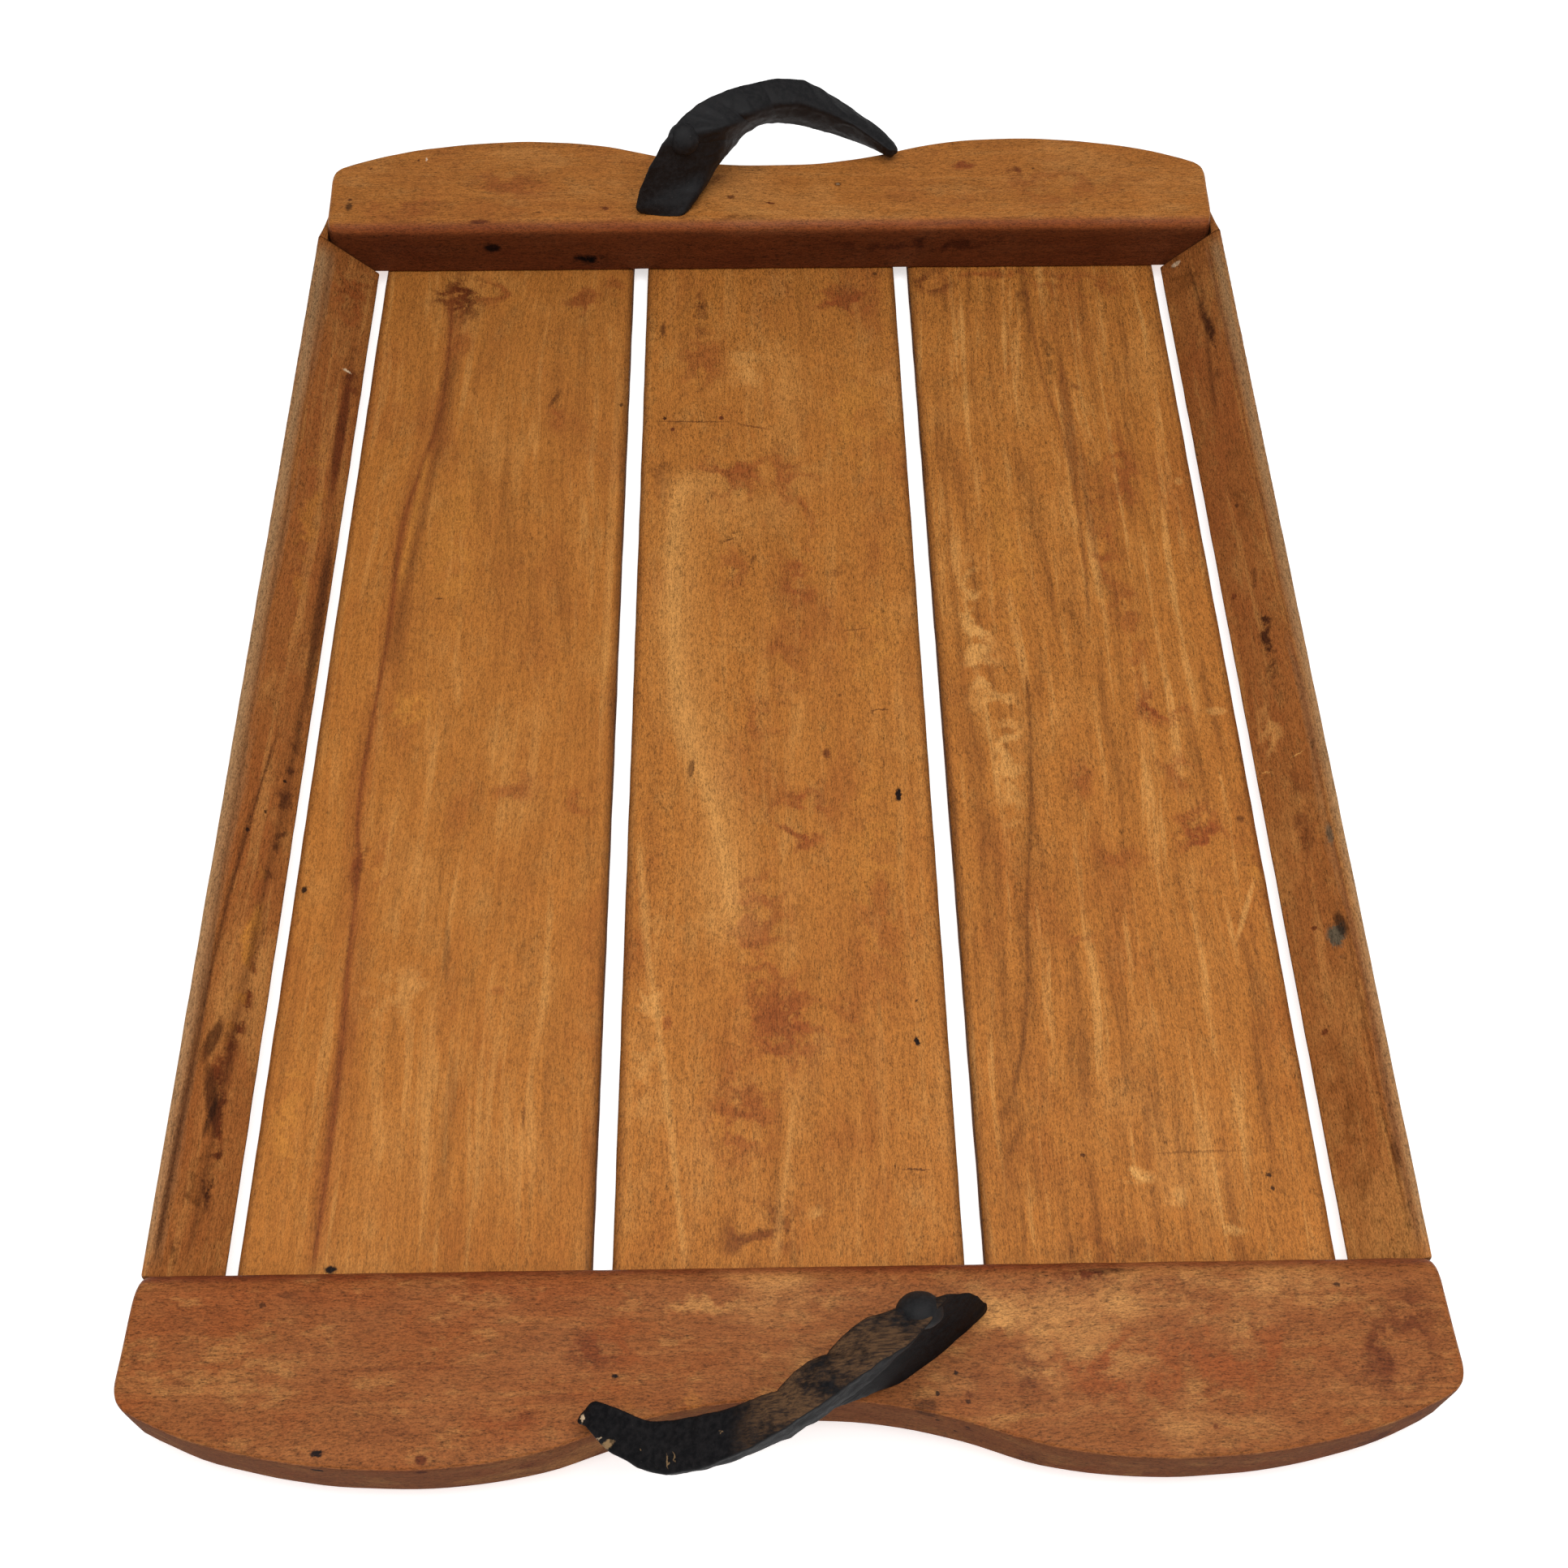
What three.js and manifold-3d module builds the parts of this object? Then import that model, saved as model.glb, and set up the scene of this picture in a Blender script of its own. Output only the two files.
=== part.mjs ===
// Slatted beech serving tray with two forged iron handles, in millimetres, +Z up.
// Three slats lie side by side, an end board lies across them at the front (-Y) and at the
// back (+Y), and a sloping rail closes each side. The origin is the middle of the underside.
import * as THREE from 'three';
import { mergeVertices } from 'three/addons/utils/BufferGeometryUtils.js';
import Module from 'manifold-3d';

const wasm = await Module();
wasm.setup();

// Driving dimensions
const clearance = 0.3; // between pieces that touch
const slatWidth = 95;
const slatGap = 5.5;
const slatThickness = 6;
const slatEdgeRadius = 1.4;
const slatTuck = 28; // length of slat under each end board
const innerLength = 400; // between the end boards' inner faces
const boardThickness = 21.5;
const boardInnerRadius = 6; // of the end board's upper inner edge
const boardArrisRadius = 1.2;
const boardHalfWidth = 168.5;
const boardTaper = 1.2; // how much narrower the board is at its inner edge, each side
const boardCornerRadius = 3;
const boardStraight = 28; // length of the board's straight end
const boardTurn = 33.5; // depth that the corner's curve aims at, beyond the straight end
const railClearance = 0.5; // at each end of a rail
const railGap = 2.6; // between a rail and the slat beside it
const railThickness = 6;
const railFlare = 2.5; // how much further out the rail's edge is at the back than at the front
const railTongue = 17.5; // length of the thin tongue that runs on beside the back board
const railTongueTip = 0.6; // thickness of the tongue at its end
const railLean = THREE.MathUtils.degToRad(44); // slope above the level
const railTopRound = 3.8; // reach of the rounding along each side of the upper edge
const railPinRise = 9.5; // up the slope from the rail's lower edge
const screwRadius = 1.75;
const screwHeadRadius = 3.5;
const screwHeadHeight = 2.4;
const screwHeadLand = 0.4; // straight part of the head, above its cone
const screwTip = 3;
const screwSlotWidth = 1;
const screwSlotDepth = 1;
const beyond = 5; // how far a cutting solid reaches past what it cuts
const slatScrewLength = 20;
const slatScrewSpread = 50; // between the two screws at a slat's end
const slatScrewDepth = 12; // from the end board's inner face
const slatScrewRecess = 0.5;
const handleScrewRecess = 0.2;
const handleScrewGrip = 5.4; // length of thread in the handle's foot
const pinRadius = 1.2;
const pinLength = 24;
const rivetRadius = 5.8;
const rivetHeight = 5;
const rivetShankRadius = 2.4;
const rivetShankLength = 8;
const domeSteps = 7;
const roundSegments = 24;
const fineSegments = 14;

// The end board's outer edge: depth from the inner face at each distance from the middle.
const boardDepths = [
  [0, 35.2], [21, 36.2], [42, 40.6], [62, 46.8], [82, 49.8],
  [103, 50.2], [125, 48], [147, 43], [163, 36.5],
];

// The handle, in its own frame: x to the right, y inward, z above the board, from the board's
// inner edge. Each section is a rounded triangle with a ridge on top, an inner edge and a back.
const handleSections = [
  { ridge: [51.5, -13, 0], inner: [30, -15, 0], back: [22, -35.5, 0] },
  { ridge: [50.2, -13.5, 8.5], inner: [24, -24, 9], back: [13.5, -39.5, 5] },
  { ridge: [45, -15, 22], inner: [17, -25, 18], back: [8.5, -42, 9] },
  { ridge: [38.5, -19, 29.5], inner: [15.5, -24.5, 28], back: [5.5, -44, 10] },
  { ridge: [30.5, -29, 32.2], inner: [12, -27, 28.5], back: [3.5, -45.5, 10.5] },
  { ridge: [20.5, -36, 34.8], inner: [8, -30, 28.3], back: [0.5, -47, 11] },
  { ridge: [8.5, -44, 34], inner: [1, -35, 28], back: [-3, -48.8, 10.5] },
  { ridge: [-2.6, -50.2, 31.5], inner: [-7, -40, 26.5], back: [-9, -50.2, 9] },
  { ridge: [-17, -55.8, 26], inner: [-17, -42.3, 24], back: [-18, -51.5, 5.5] },
  { ridge: [-31, -56.2, 16], inner: [-32.5, -42.6, 16], back: [-32, -50.7, 1.2] },
  { ridge: [-43, -50, 10], inner: [-43, -38, 10.5], back: [-43, -45, 0.4] },
  { ridge: [-49.3, -43.5, 7.5], inner: [-48, -36.2, 7.5], back: [-49, -40, 0.4] },
  { ridge: [-51.4, -41.4, 5.6], inner: [-50.7, -38.4, 5.6], back: [-51.2, -40, 2.2] },
];
const handleCornerRound = 0.4; // share of each half side taken by a corner's curve
const handleSteps = 3; // rings from one section to the next
const handleCornerPoints = 4;
const handleScrewPlaces = [[35, -21.2], [27.5, -26.8]];
const rivetSeat = new THREE.Vector3(30.5, -22.6, 25.8);
const rivetAxis = new THREE.Vector3(0, 0.8, 0.6);

// The two handles are forged to one pattern and set by hand, so they differ a little.
const ends = {
  front: { half: 0, turn: 0, shift: [0, 0] },
  back: { half: Math.PI, turn: THREE.MathUtils.degToRad(2.9), shift: [0.4, 5.2] },
};

const boardUnderside = slatThickness + clearance;
const boardTop = slatThickness + boardThickness;
const innerFace = innerLength / 2;

const wood = (color) => new THREE.MeshStandardMaterial({ color, roughness: 0.5, metalness: 0 });
const slatWood = wood(0xa9652c);
const railWood = wood(0x8a4f24);
const boardWood = wood(0x9a5526);
const iron = new THREE.MeshStandardMaterial({ color: 0x1c1a19, roughness: 0.45, metalness: 0.8 });
const steel = new THREE.MeshStandardMaterial({ color: 0x8d8f92, roughness: 0.35, metalness: 1 });

const tray = new THREE.Group();

// Solids: to and from manifold-3d, which only joins and cuts.
function toSolid(geometry, matrix = new THREE.Matrix4()) {
  const bare = geometry.clone().applyMatrix4(matrix);
  bare.deleteAttribute('normal');
  bare.deleteAttribute('uv');
  const merged = mergeVertices(bare, 1e-4);
  return new wasm.Manifold(new wasm.Mesh({
    numProp: 3,
    vertProperties: new Float32Array(merged.attributes.position.array),
    triVerts: new Uint32Array(merged.index.array),
  }));
}

function toGeometry(solid) {
  const mesh = solid.getMesh();
  const geometry = new THREE.BufferGeometry();
  geometry.setAttribute('position', new THREE.BufferAttribute(mesh.vertProperties.slice(), 3));
  geometry.setIndex(new THREE.BufferAttribute(mesh.triVerts.slice(), 1));
  geometry.computeVertexNormals();
  return geometry;
}

function cutAll(solid, tools) {
  return tools.reduce((rest, tool) => rest.subtract(tool), solid);
}

function addMesh(name, geometry, material, parent = tray) {
  const mesh = new THREE.Mesh(geometry, material);
  mesh.name = name;
  parent.add(mesh);
  return mesh;
}

// A polygon with its corners rounded by quadratic curves of the given reach.
function roundedShape(corners, reach) {
  const shape = new THREE.Shape();
  corners.forEach((corner, i) => {
    const before = corners[(i + corners.length - 1) % corners.length];
    const after = corners[(i + 1) % corners.length];
    const start = corner.clone().add(before.clone().sub(corner).setLength(reach[i]));
    const end = corner.clone().add(after.clone().sub(corner).setLength(reach[i]));
    if (i === 0) shape.moveTo(start.x, start.y);
    else shape.lineTo(start.x, start.y);
    shape.quadraticCurveTo(corner.x, corner.y, end.x, end.y);
  });
  shape.closePath();
  return shape;
}

const points = (list) => list.map(([x, y]) => new THREE.Vector2(x, y));

// Turns an extrusion drawn in x and z, and extruded in z, so that it runs along +Y.
function alongY(shape, length, curveSegments) {
  const geometry = new THREE.ExtrudeGeometry(shape, { depth: length, bevelEnabled: false, curveSegments });
  return geometry.rotateX(Math.PI / 2).translate(0, length / 2, 0);
}

// Turns a profile about +Z.
function turned(profile, segments) {
  return new THREE.LatheGeometry(profile, segments).rotateX(Math.PI / 2);
}

// A countersunk screw pointing up, with its head's flat face at z = 0.
function countersunkScrew(length) {
  const profile = points([
    [0, 0], [screwHeadRadius, 0], [screwHeadRadius, screwHeadLand], [screwRadius, screwHeadHeight],
    [screwRadius, length - screwTip], [0, length],
  ]);
  const body = toSolid(turned(profile, fineSegments));
  const slot = toSolid(new THREE.BoxGeometry(2 * (screwHeadRadius + beyond), screwSlotWidth, 2 * screwSlotDepth));
  return toGeometry(body.subtract(slot));
}

// The space a screw needs: its own outline and the clearance round it.
function screwHole(x, y, z, length) {
  const wide = screwHeadRadius + clearance;
  const narrow = screwRadius + clearance;
  const profile = points([
    [0, -boardThickness], [wide, -boardThickness], [wide, screwHeadLand + clearance],
    [narrow, screwHeadHeight + clearance], [narrow, length + clearance], [0, length + clearance],
  ]);
  return toSolid(turned(profile, fineSegments).translate(x, y, z));
}

function roundHole(start, direction, radius, length) {
  const turn = new THREE.Quaternion().setFromUnitVectors(new THREE.Vector3(0, 1, 0), direction);
  const middle = start.clone().addScaledVector(direction, length / 2);
  const place = new THREE.Matrix4().compose(middle, turn, new THREE.Vector3(1, 1, 1));
  return toSolid(new THREE.CylinderGeometry(radius, radius, length, roundSegments), place);
}

// Where each slat screw stands.
const slatPitch = slatWidth + slatGap;
const slatPlaces = { slat_left: -slatPitch, slat_middle: 0, slat_right: slatPitch };
const slatScrewPlaces = Object.values(slatPlaces).flatMap((x) => [-1, 1].flatMap(
  (end) => [-1, 1].map((side) => [
    x + side * slatScrewSpread / 2, end * (innerFace + slatScrewDepth), slatScrewRecess,
  ]),
));

function makeSlats() {
  const half = slatWidth / 2;
  const section = roundedShape(
    points([[-half, 0], [half, 0], [half, slatThickness], [-half, slatThickness]]),
    Array(4).fill(slatEdgeRadius),
  );
  const length = innerLength + 2 * slatTuck;
  for (const [name, x] of Object.entries(slatPlaces)) {
    const plank = toSolid(alongY(section, length, 3).translate(x, 0, 0));
    const holes = slatScrewPlaces
      .filter(([screwX]) => Math.abs(screwX - x) < half)
      .map(([screwX, y, z]) => screwHole(screwX, y, z, slatScrewLength));
    addMesh(name, toGeometry(cutAll(plank, holes)), slatWood);
  }
}

// A rail's section: a plank on the slope, cut upright where it meets the end boards' ends.
const railFoot = 1.5 * slatWidth + slatGap + railGap;
const railUp = new THREE.Vector2(Math.cos(railLean), Math.sin(railLean));
const railOut = new THREE.Vector2(Math.sin(railLean), -Math.cos(railLean));
const railCorner = (along, across) => new THREE.Vector2(railFoot, slatThickness)
  .addScaledVector(railUp, along).addScaledVector(railOut, across);
const railReach = (across) => (boardHalfWidth + railFlare - railCorner(0, across).x) / railUp.x;
const railPinPlace = railCorner(railPinRise, railThickness / 2);

function railPins() {
  return [-1, 1].flatMap((side) => [-1, 1].map((end) => ({
    start: new THREE.Vector3(side * railPinPlace.x, end * (innerFace - pinLength / 2), railPinPlace.y),
    direction: new THREE.Vector3(0, end, 0),
    side,
  })));
}

// The rail in plan, from its front end to its tongue, which tapers along the back board's end.
function railPlan(end) {
  const boardSide = (depth) => boardHalfWidth - boardTaper * (1 - depth / boardStraight) + railClearance;
  const tip = boardSide(railTongue);
  const inside = railFoot - beyond;
  return new THREE.Shape(points([
    [inside, -end], [boardHalfWidth, -end], [boardHalfWidth + railFlare, end],
    [tip + railTongueTip, end + railTongue], [tip, end + railTongue], [boardSide(0), end], [inside, end],
  ]));
}

function makeRails() {
  const corners = [railCorner(0, 0), railCorner(0, railThickness),
    railCorner(railReach(railThickness), railThickness), railCorner(railReach(0), 0)];
  const section = roundedShape(corners, [0.8, 0.8, 1.2, railTopRound]);
  const end = innerFace - railClearance;
  const plan = toSolid(new THREE.ExtrudeGeometry(railPlan(end), { depth: boardTop, bevelEnabled: false }));
  const bar = toSolid(alongY(section, 2 * end + railTongue, 6).translate(0, railTongue / 2, 0));
  for (const [name, side] of [['rail_left', -1], ['rail_right', 1]]) {
    const plank = bar.intersect(plan);
    const placed = side < 0 ? plank.mirror([1, 0, 0]) : plank;
    const holes = railPins().filter((pin) => pin.side === side)
      .map((pin) => roundHole(pin.start.clone().addScaledVector(pin.direction, -clearance),
        pin.direction, pinRadius + clearance, pinLength));
    addMesh(name, toGeometry(cutAll(placed, holes)), railWood);
  }
}

function makeRailPins() {
  railPins().forEach((pin, i) => {
    const geometry = new THREE.CylinderGeometry(pinRadius, pinRadius, pinLength, fineSegments);
    const mesh = addMesh(`rail_pin_${i + 1}`, geometry, steel);
    mesh.position.copy(pin.start).addScaledVector(pin.direction, pinLength / 2);
  });
}

// The end board, drawn in plan with its inner face on the x axis and its outer edge at -y.
function boardPlan() {
  const edge = boardDepths.map(([x, depth]) => new THREE.Vector2(x, -depth));
  const mirrored = edge.slice(1).reverse().map((p) => new THREE.Vector2(-p.x, p.y));
  const innerHalf = boardHalfWidth - boardTaper;
  const r = boardCornerRadius;
  const shape = new THREE.Shape();
  shape.moveTo(innerHalf - r, 0);
  shape.lineTo(-innerHalf + r, 0);
  shape.quadraticCurveTo(-innerHalf, 0, -innerHalf, -r);
  shape.lineTo(-boardHalfWidth, -boardStraight);
  shape.quadraticCurveTo(-boardHalfWidth, -boardTurn, mirrored[0].x, mirrored[0].y);
  shape.splineThru([...mirrored.slice(1), ...edge]);
  shape.quadraticCurveTo(boardHalfWidth, -boardTurn, boardHalfWidth, -boardStraight);
  shape.lineTo(innerHalf, -r);
  shape.quadraticCurveTo(innerHalf, 0, innerHalf - r, 0);
  return shape;
}

// The board's side profile, drawn with x inward and y up, and stretched over its whole width.
function boardProfile() {
  const deep = Math.max(...boardDepths.map(([, depth]) => depth)) + beyond;
  const low = boardUnderside;
  return roundedShape(
    points([[-deep, low], [0, low], [0, boardTop], [-deep, boardTop]]),
    [0.1, boardArrisRadius, boardInnerRadius, 0.1],
  );
}

function makeBoard(name, end) {
  const plan = toSolid(
    new THREE.ExtrudeGeometry(boardPlan(), { depth: boardTop + beyond, bevelEnabled: false, curveSegments: 8 }),
  );
  const width = 2 * (boardHalfWidth + beyond);
  const bar = toSolid(
    alongY(boardProfile(), width, 8).rotateZ(Math.PI / 2),
  );
  const turn = new THREE.Matrix4().makeRotationZ(end.half);
  const place = new THREE.Matrix4().makeTranslation(0, -innerFace, 0).premultiply(turn);
  const placed = plan.intersect(bar).transform(place.elements);
  const isHere = (y) => (end.half === 0 ? y < 0 : y > 0);
  const slatHoles = slatScrewPlaces.filter(([, y]) => isHere(y))
    .map(([x, y, z]) => screwHole(x, y, z, slatScrewLength));
  const pinHoles = railPins().filter((pin) => isHere(pin.start.y))
    .map((pin) => roundHole(pin.start, pin.direction, pinRadius + clearance, pinLength + clearance));
  const handleHoles = handleScrewPlaces.map((at) => {
    const [x, y] = handlePlace(at, end);
    return screwHole(x, y, boardUnderside + handleScrewRecess, handleScrewLength);
  });
  addMesh(name, toGeometry(cutAll(placed, [...slatHoles, ...pinHoles, ...handleHoles])), boardWood);
}

// Handles
const handleBase = boardTop + clearance;
const handleScrewLength = handleBase + handleScrewGrip - boardUnderside;

function handleGroup(end) {
  const turned = new THREE.Group();
  turned.rotation.z = end.half;
  const set = new THREE.Group();
  set.rotation.z = end.turn;
  set.position.set(end.shift[0], end.shift[1] - innerFace, handleBase);
  turned.add(set);
  tray.add(turned);
  return set;
}

function handlePlace([x, y], end) {
  const at = new THREE.Vector2(x, y).rotateAround(new THREE.Vector2(), end.turn);
  at.add(new THREE.Vector2(end.shift[0], end.shift[1] - innerFace));
  at.rotateAround(new THREE.Vector2(), end.half);
  return [at.x, at.y];
}

function handleRing(corners) {
  const ring = [];
  corners.forEach((corner, i) => {
    const before = corners[(i + 2) % 3];
    const after = corners[(i + 1) % 3];
    const start = corner.clone().lerp(before, handleCornerRound / 2);
    const end = corner.clone().lerp(after, handleCornerRound / 2);
    const curve = new THREE.QuadraticBezierCurve3(start, corner, end);
    ring.push(...curve.getPoints(handleCornerPoints - 1));
  });
  return ring;
}

function handleSolid() {
  const edge = (name) => new THREE.CatmullRomCurve3(
    handleSections.map((section) => new THREE.Vector3(...section[name])), false, 'catmullrom', 0.5,
  );
  const edges = [edge('ridge'), edge('inner'), edge('back')];
  const count = (handleSections.length - 1) * handleSteps;
  const rings = [];
  for (let i = 0; i <= count; i += 1) {
    const corners = edges.map((curve) => curve.getPoint(i / count));
    if (i === 0) corners.forEach((corner) => { corner.z = 0; });
    rings.push(handleRing(corners));
  }
  const size = rings[0].length;
  const vertices = rings.flat().flatMap((p) => [p.x, p.y, p.z]);
  const index = [];
  for (let i = 0; i < rings.length - 1; i += 1) {
    for (let j = 0; j < size; j += 1) {
      const a = i * size + j;
      const b = i * size + (j + 1) % size;
      index.push(a, b, a + size, b, b + size, a + size);
    }
  }
  for (const [ring, flip] of [[0, true], [rings.length - 1, false]]) {
    for (let j = 1; j < size - 1; j += 1) {
      const fan = [ring * size, ring * size + j, ring * size + j + 1];
      index.push(...(flip ? fan.reverse() : fan));
    }
  }
  const geometry = new THREE.BufferGeometry();
  geometry.setAttribute('position', new THREE.Float32BufferAttribute(vertices, 3));
  geometry.setIndex(index);
  return toSolid(geometry);
}

// A domed rivet about +Y with its seat at y = 0, larger all over by the amount given.
function rivetShape(grow) {
  const shank = rivetShankRadius + grow;
  const profile = points([[0, -rivetShankLength - grow], [shank, -rivetShankLength - grow], [shank, -grow]]);
  for (let i = 0; i <= domeSteps; i += 1) {
    const angle = (i / domeSteps) * Math.PI / 2;
    const out = i === domeSteps ? 0 : (rivetRadius + grow) * Math.cos(angle);
    profile.push(new THREE.Vector2(out, (rivetHeight + 2 * grow) * Math.sin(angle) - grow));
  }
  return new THREE.LatheGeometry(profile, roundSegments);
}

const rivetTurn = new THREE.Quaternion().setFromUnitVectors(new THREE.Vector3(0, 1, 0), rivetAxis);

function makeHandle(name, end) {
  const place = new THREE.Matrix4().compose(rivetSeat, rivetTurn, new THREE.Vector3(1, 1, 1));
  const rivetSpace = toSolid(rivetShape(clearance), place);
  const screwHoles = handleScrewPlaces.map(([x, y]) => roundHole(
    new THREE.Vector3(x, y, -beyond), new THREE.Vector3(0, 0, 1),
    screwRadius + clearance, beyond + handleScrewGrip + clearance,
  ));
  const solid = cutAll(handleSolid(), [rivetSpace, ...screwHoles]);
  addMesh(name, toGeometry(solid), iron, handleGroup(end));
}

function makeRivet(name, end) {
  const mesh = addMesh(name, rivetShape(0), iron, handleGroup(end));
  mesh.position.copy(rivetSeat);
  mesh.quaternion.copy(rivetTurn);
}

function makeSlatScrews() {
  slatScrewPlaces.forEach(([x, y, z], i) => {
    const mesh = addMesh(`slat_screw_${i + 1}`, countersunkScrew(slatScrewLength), steel);
    mesh.position.set(x, y, z);
  });
}

function makeHandleScrews() {
  const places = Object.values(ends).flatMap((end) => handleScrewPlaces.map((at) => handlePlace(at, end)));
  places.forEach(([x, y], i) => {
    const mesh = addMesh(`handle_screw_${i + 1}`, countersunkScrew(handleScrewLength), steel);
    mesh.position.set(x, y, boardUnderside + handleScrewRecess);
  });
}

makeSlats();
makeRails();
makeRailPins();
makeSlatScrews();
makeHandleScrews();
for (const [label, end] of Object.entries(ends)) {
  makeBoard(`end_board_${label}`, end);
  makeHandle(`handle_${label}`, end);
  makeRivet(`rivet_${label}`, end);
}

export default tray;
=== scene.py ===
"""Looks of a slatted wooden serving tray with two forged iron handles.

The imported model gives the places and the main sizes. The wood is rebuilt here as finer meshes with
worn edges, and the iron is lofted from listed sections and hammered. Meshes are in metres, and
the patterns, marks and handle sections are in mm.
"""
import math

import bmesh
import bpy
from mathutils import Matrix, Vector, noise


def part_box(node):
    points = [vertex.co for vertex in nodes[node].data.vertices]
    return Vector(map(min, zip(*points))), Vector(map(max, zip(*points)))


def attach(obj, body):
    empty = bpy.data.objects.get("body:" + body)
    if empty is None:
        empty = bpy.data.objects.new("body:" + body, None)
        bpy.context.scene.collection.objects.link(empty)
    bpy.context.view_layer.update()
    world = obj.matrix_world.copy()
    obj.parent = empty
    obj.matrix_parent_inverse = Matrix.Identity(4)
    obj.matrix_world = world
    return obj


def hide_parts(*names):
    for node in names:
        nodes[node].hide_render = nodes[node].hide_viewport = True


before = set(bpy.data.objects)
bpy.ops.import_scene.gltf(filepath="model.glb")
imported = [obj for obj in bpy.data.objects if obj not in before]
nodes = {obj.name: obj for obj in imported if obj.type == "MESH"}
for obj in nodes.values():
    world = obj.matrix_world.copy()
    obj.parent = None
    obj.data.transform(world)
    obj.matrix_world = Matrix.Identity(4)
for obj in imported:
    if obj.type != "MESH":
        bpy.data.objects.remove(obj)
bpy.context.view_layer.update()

MM = 0.001
SLATS = ("slat_left", "slat_middle", "slat_right")
RAILS = ("rail_left", "rail_right")
ENDS = ("front", "back")

SLAT_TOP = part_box("slat_middle")[1].z
board_low, board_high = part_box("end_board_front")
BOARD_LOW = board_low.z
BOARD_TOP = board_high.z
INNER_FACE = -board_high.y
BOARD_HALF = board_high.x

SLAT_ARRIS = 1.4 * MM
BOARD_TAPER = 1.2 * MM
BOARD_CORNER = 3 * MM
BOARD_INNER_ROUND = 6 * MM
BOARD_STRAIGHT = 28 * MM
BOARD_ARRIS = 1.3 * MM
BOARD_LOWER_ARRIS = 2.4 * MM
BOARD_INNER_FOOT = 0.8 * MM
BOARD_END_ROUND = 1.8 * MM
RAIL_LEAN = math.radians(44)
RAIL_THICKNESS = 6 * MM
RAIL_TOP_ROUND = 3.8 * MM
RAIL_FLARE = 2.5 * MM
RAIL_TONGUE_TIP = 0.6 * MM
RAIL_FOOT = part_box("slat_right")[1].x + 2.6 * MM
RAIL_FOOT_ARRIS = 0.9 * MM
RAIL_OUTER_ARRIS = 1.3 * MM
RAIL_END_ARRIS = 0.6 * MM
PLANK_END_ARRIS = 0.7 * MM
# Wear: how deep, and the size of one dip.
PLANK_WEAR = (0.12 * MM, 9 * MM)
BOARD_WEAR = (0.15 * MM, 11 * MM)
# Radius and height of the two cutters for each slat screw, which start this far below the tray.
SCREW_MOUTH = (3.8 * MM, 2.2 * MM)
SCREW_HOLE = (2.1 * MM, 12 * MM)
CUTTER_START = 1 * MM
JOINT_GAP = 0.3 * MM


# ---- camera, light and floor

def add_camera():
    position = Vector((-5.84, -360.4, 494.1)) * MM
    pitch = 0.984
    yaw = 0.022
    roll = -0.007
    level = math.cos(pitch)
    forward = Vector((math.sin(yaw) * level, math.cos(yaw) * level, -math.sin(pitch)))
    right = forward.cross(Vector((0, 0, 1))).normalized()
    down = forward.cross(right)
    right_rolled = right * math.cos(roll) + down * math.sin(roll)
    down_rolled = down * math.cos(roll) - right * math.sin(roll)
    turn = Matrix((right_rolled, -down_rolled, -forward)).transposed()
    data = bpy.data.cameras.new("camera")
    data.sensor_width = 36
    data.lens = 42.55
    data.shift_y = -0.0043
    camera = bpy.data.objects.new("camera", data)
    camera.matrix_world = Matrix.Translation(position) @ turn.to_4x4()
    bpy.context.scene.collection.objects.link(camera)
    bpy.context.scene.camera = camera


def add_area_light(name, position, target, size, power):
    data = bpy.data.lights.new(name, "AREA")
    data.shape = "RECTANGLE"
    data.size, data.size_y = size
    data.energy = power
    light = bpy.data.objects.new(name, data)
    light.location = position
    aim = Vector(target) - Vector(position)
    light.rotation_euler = aim.to_track_quat("-Z", "Y").to_euler()
    bpy.context.scene.collection.objects.link(light)


def add_stage():
    scene = bpy.context.scene
    scene.view_settings.view_transform = "Standard"
    world = bpy.data.worlds.new("studio")
    world.use_nodes = True
    world.node_tree.nodes["Background"].inputs["Color"].default_value = (1, 1, 1, 1)
    world.node_tree.nodes["Background"].inputs["Strength"].default_value = 0.2
    scene.world = world
    add_area_light("overhead", (0.05, -0.2, 1.0), (0, -0.1, 0), (1.1, 0.9), 9.6)
    mesh = bpy.data.meshes.new("floor")
    reach = 6
    mesh.from_pydata(
        [(-reach, -reach, 0), (reach, -reach, 0), (reach, reach, 0), (-reach, reach, 0)],
        [], [(0, 1, 2, 3)],
    )
    floor = bpy.data.objects.new("floor", mesh)
    floor.location.z = -0.0002
    scene.collection.objects.link(floor)
    material = bpy.data.materials.new("floor")
    material.use_nodes = True
    shader = material.node_tree.nodes["Principled BSDF"]
    shader.inputs["Base Color"].default_value = (0.82, 0.82, 0.82, 1)
    shader.inputs["Roughness"].default_value = 0.9
    shader.inputs["Emission Color"].default_value = (1, 1, 1, 1)
    shader.inputs["Emission Strength"].default_value = 0.63
    mesh.materials.append(material)


# ---- mesh making

def make_piece(node, kind, vertices, faces, material, smooth_angle=35):
    """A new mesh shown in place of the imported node."""
    mesh = bpy.data.meshes.new(node + kind)
    mesh.from_pydata([tuple(v) for v in vertices], [], faces)
    mesh.validate()
    work = bmesh.new()
    work.from_mesh(mesh)
    bmesh.ops.recalc_face_normals(work, faces=work.faces)
    work.to_mesh(mesh)
    work.free()
    mesh.materials.append(material)
    mesh.shade_smooth()
    mesh.set_sharp_from_angle(angle=math.radians(smooth_angle))
    piece = bpy.data.objects.new(node + kind, mesh)
    bpy.context.scene.collection.objects.link(piece)
    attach(piece, "root")
    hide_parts(node)
    return piece


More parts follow.
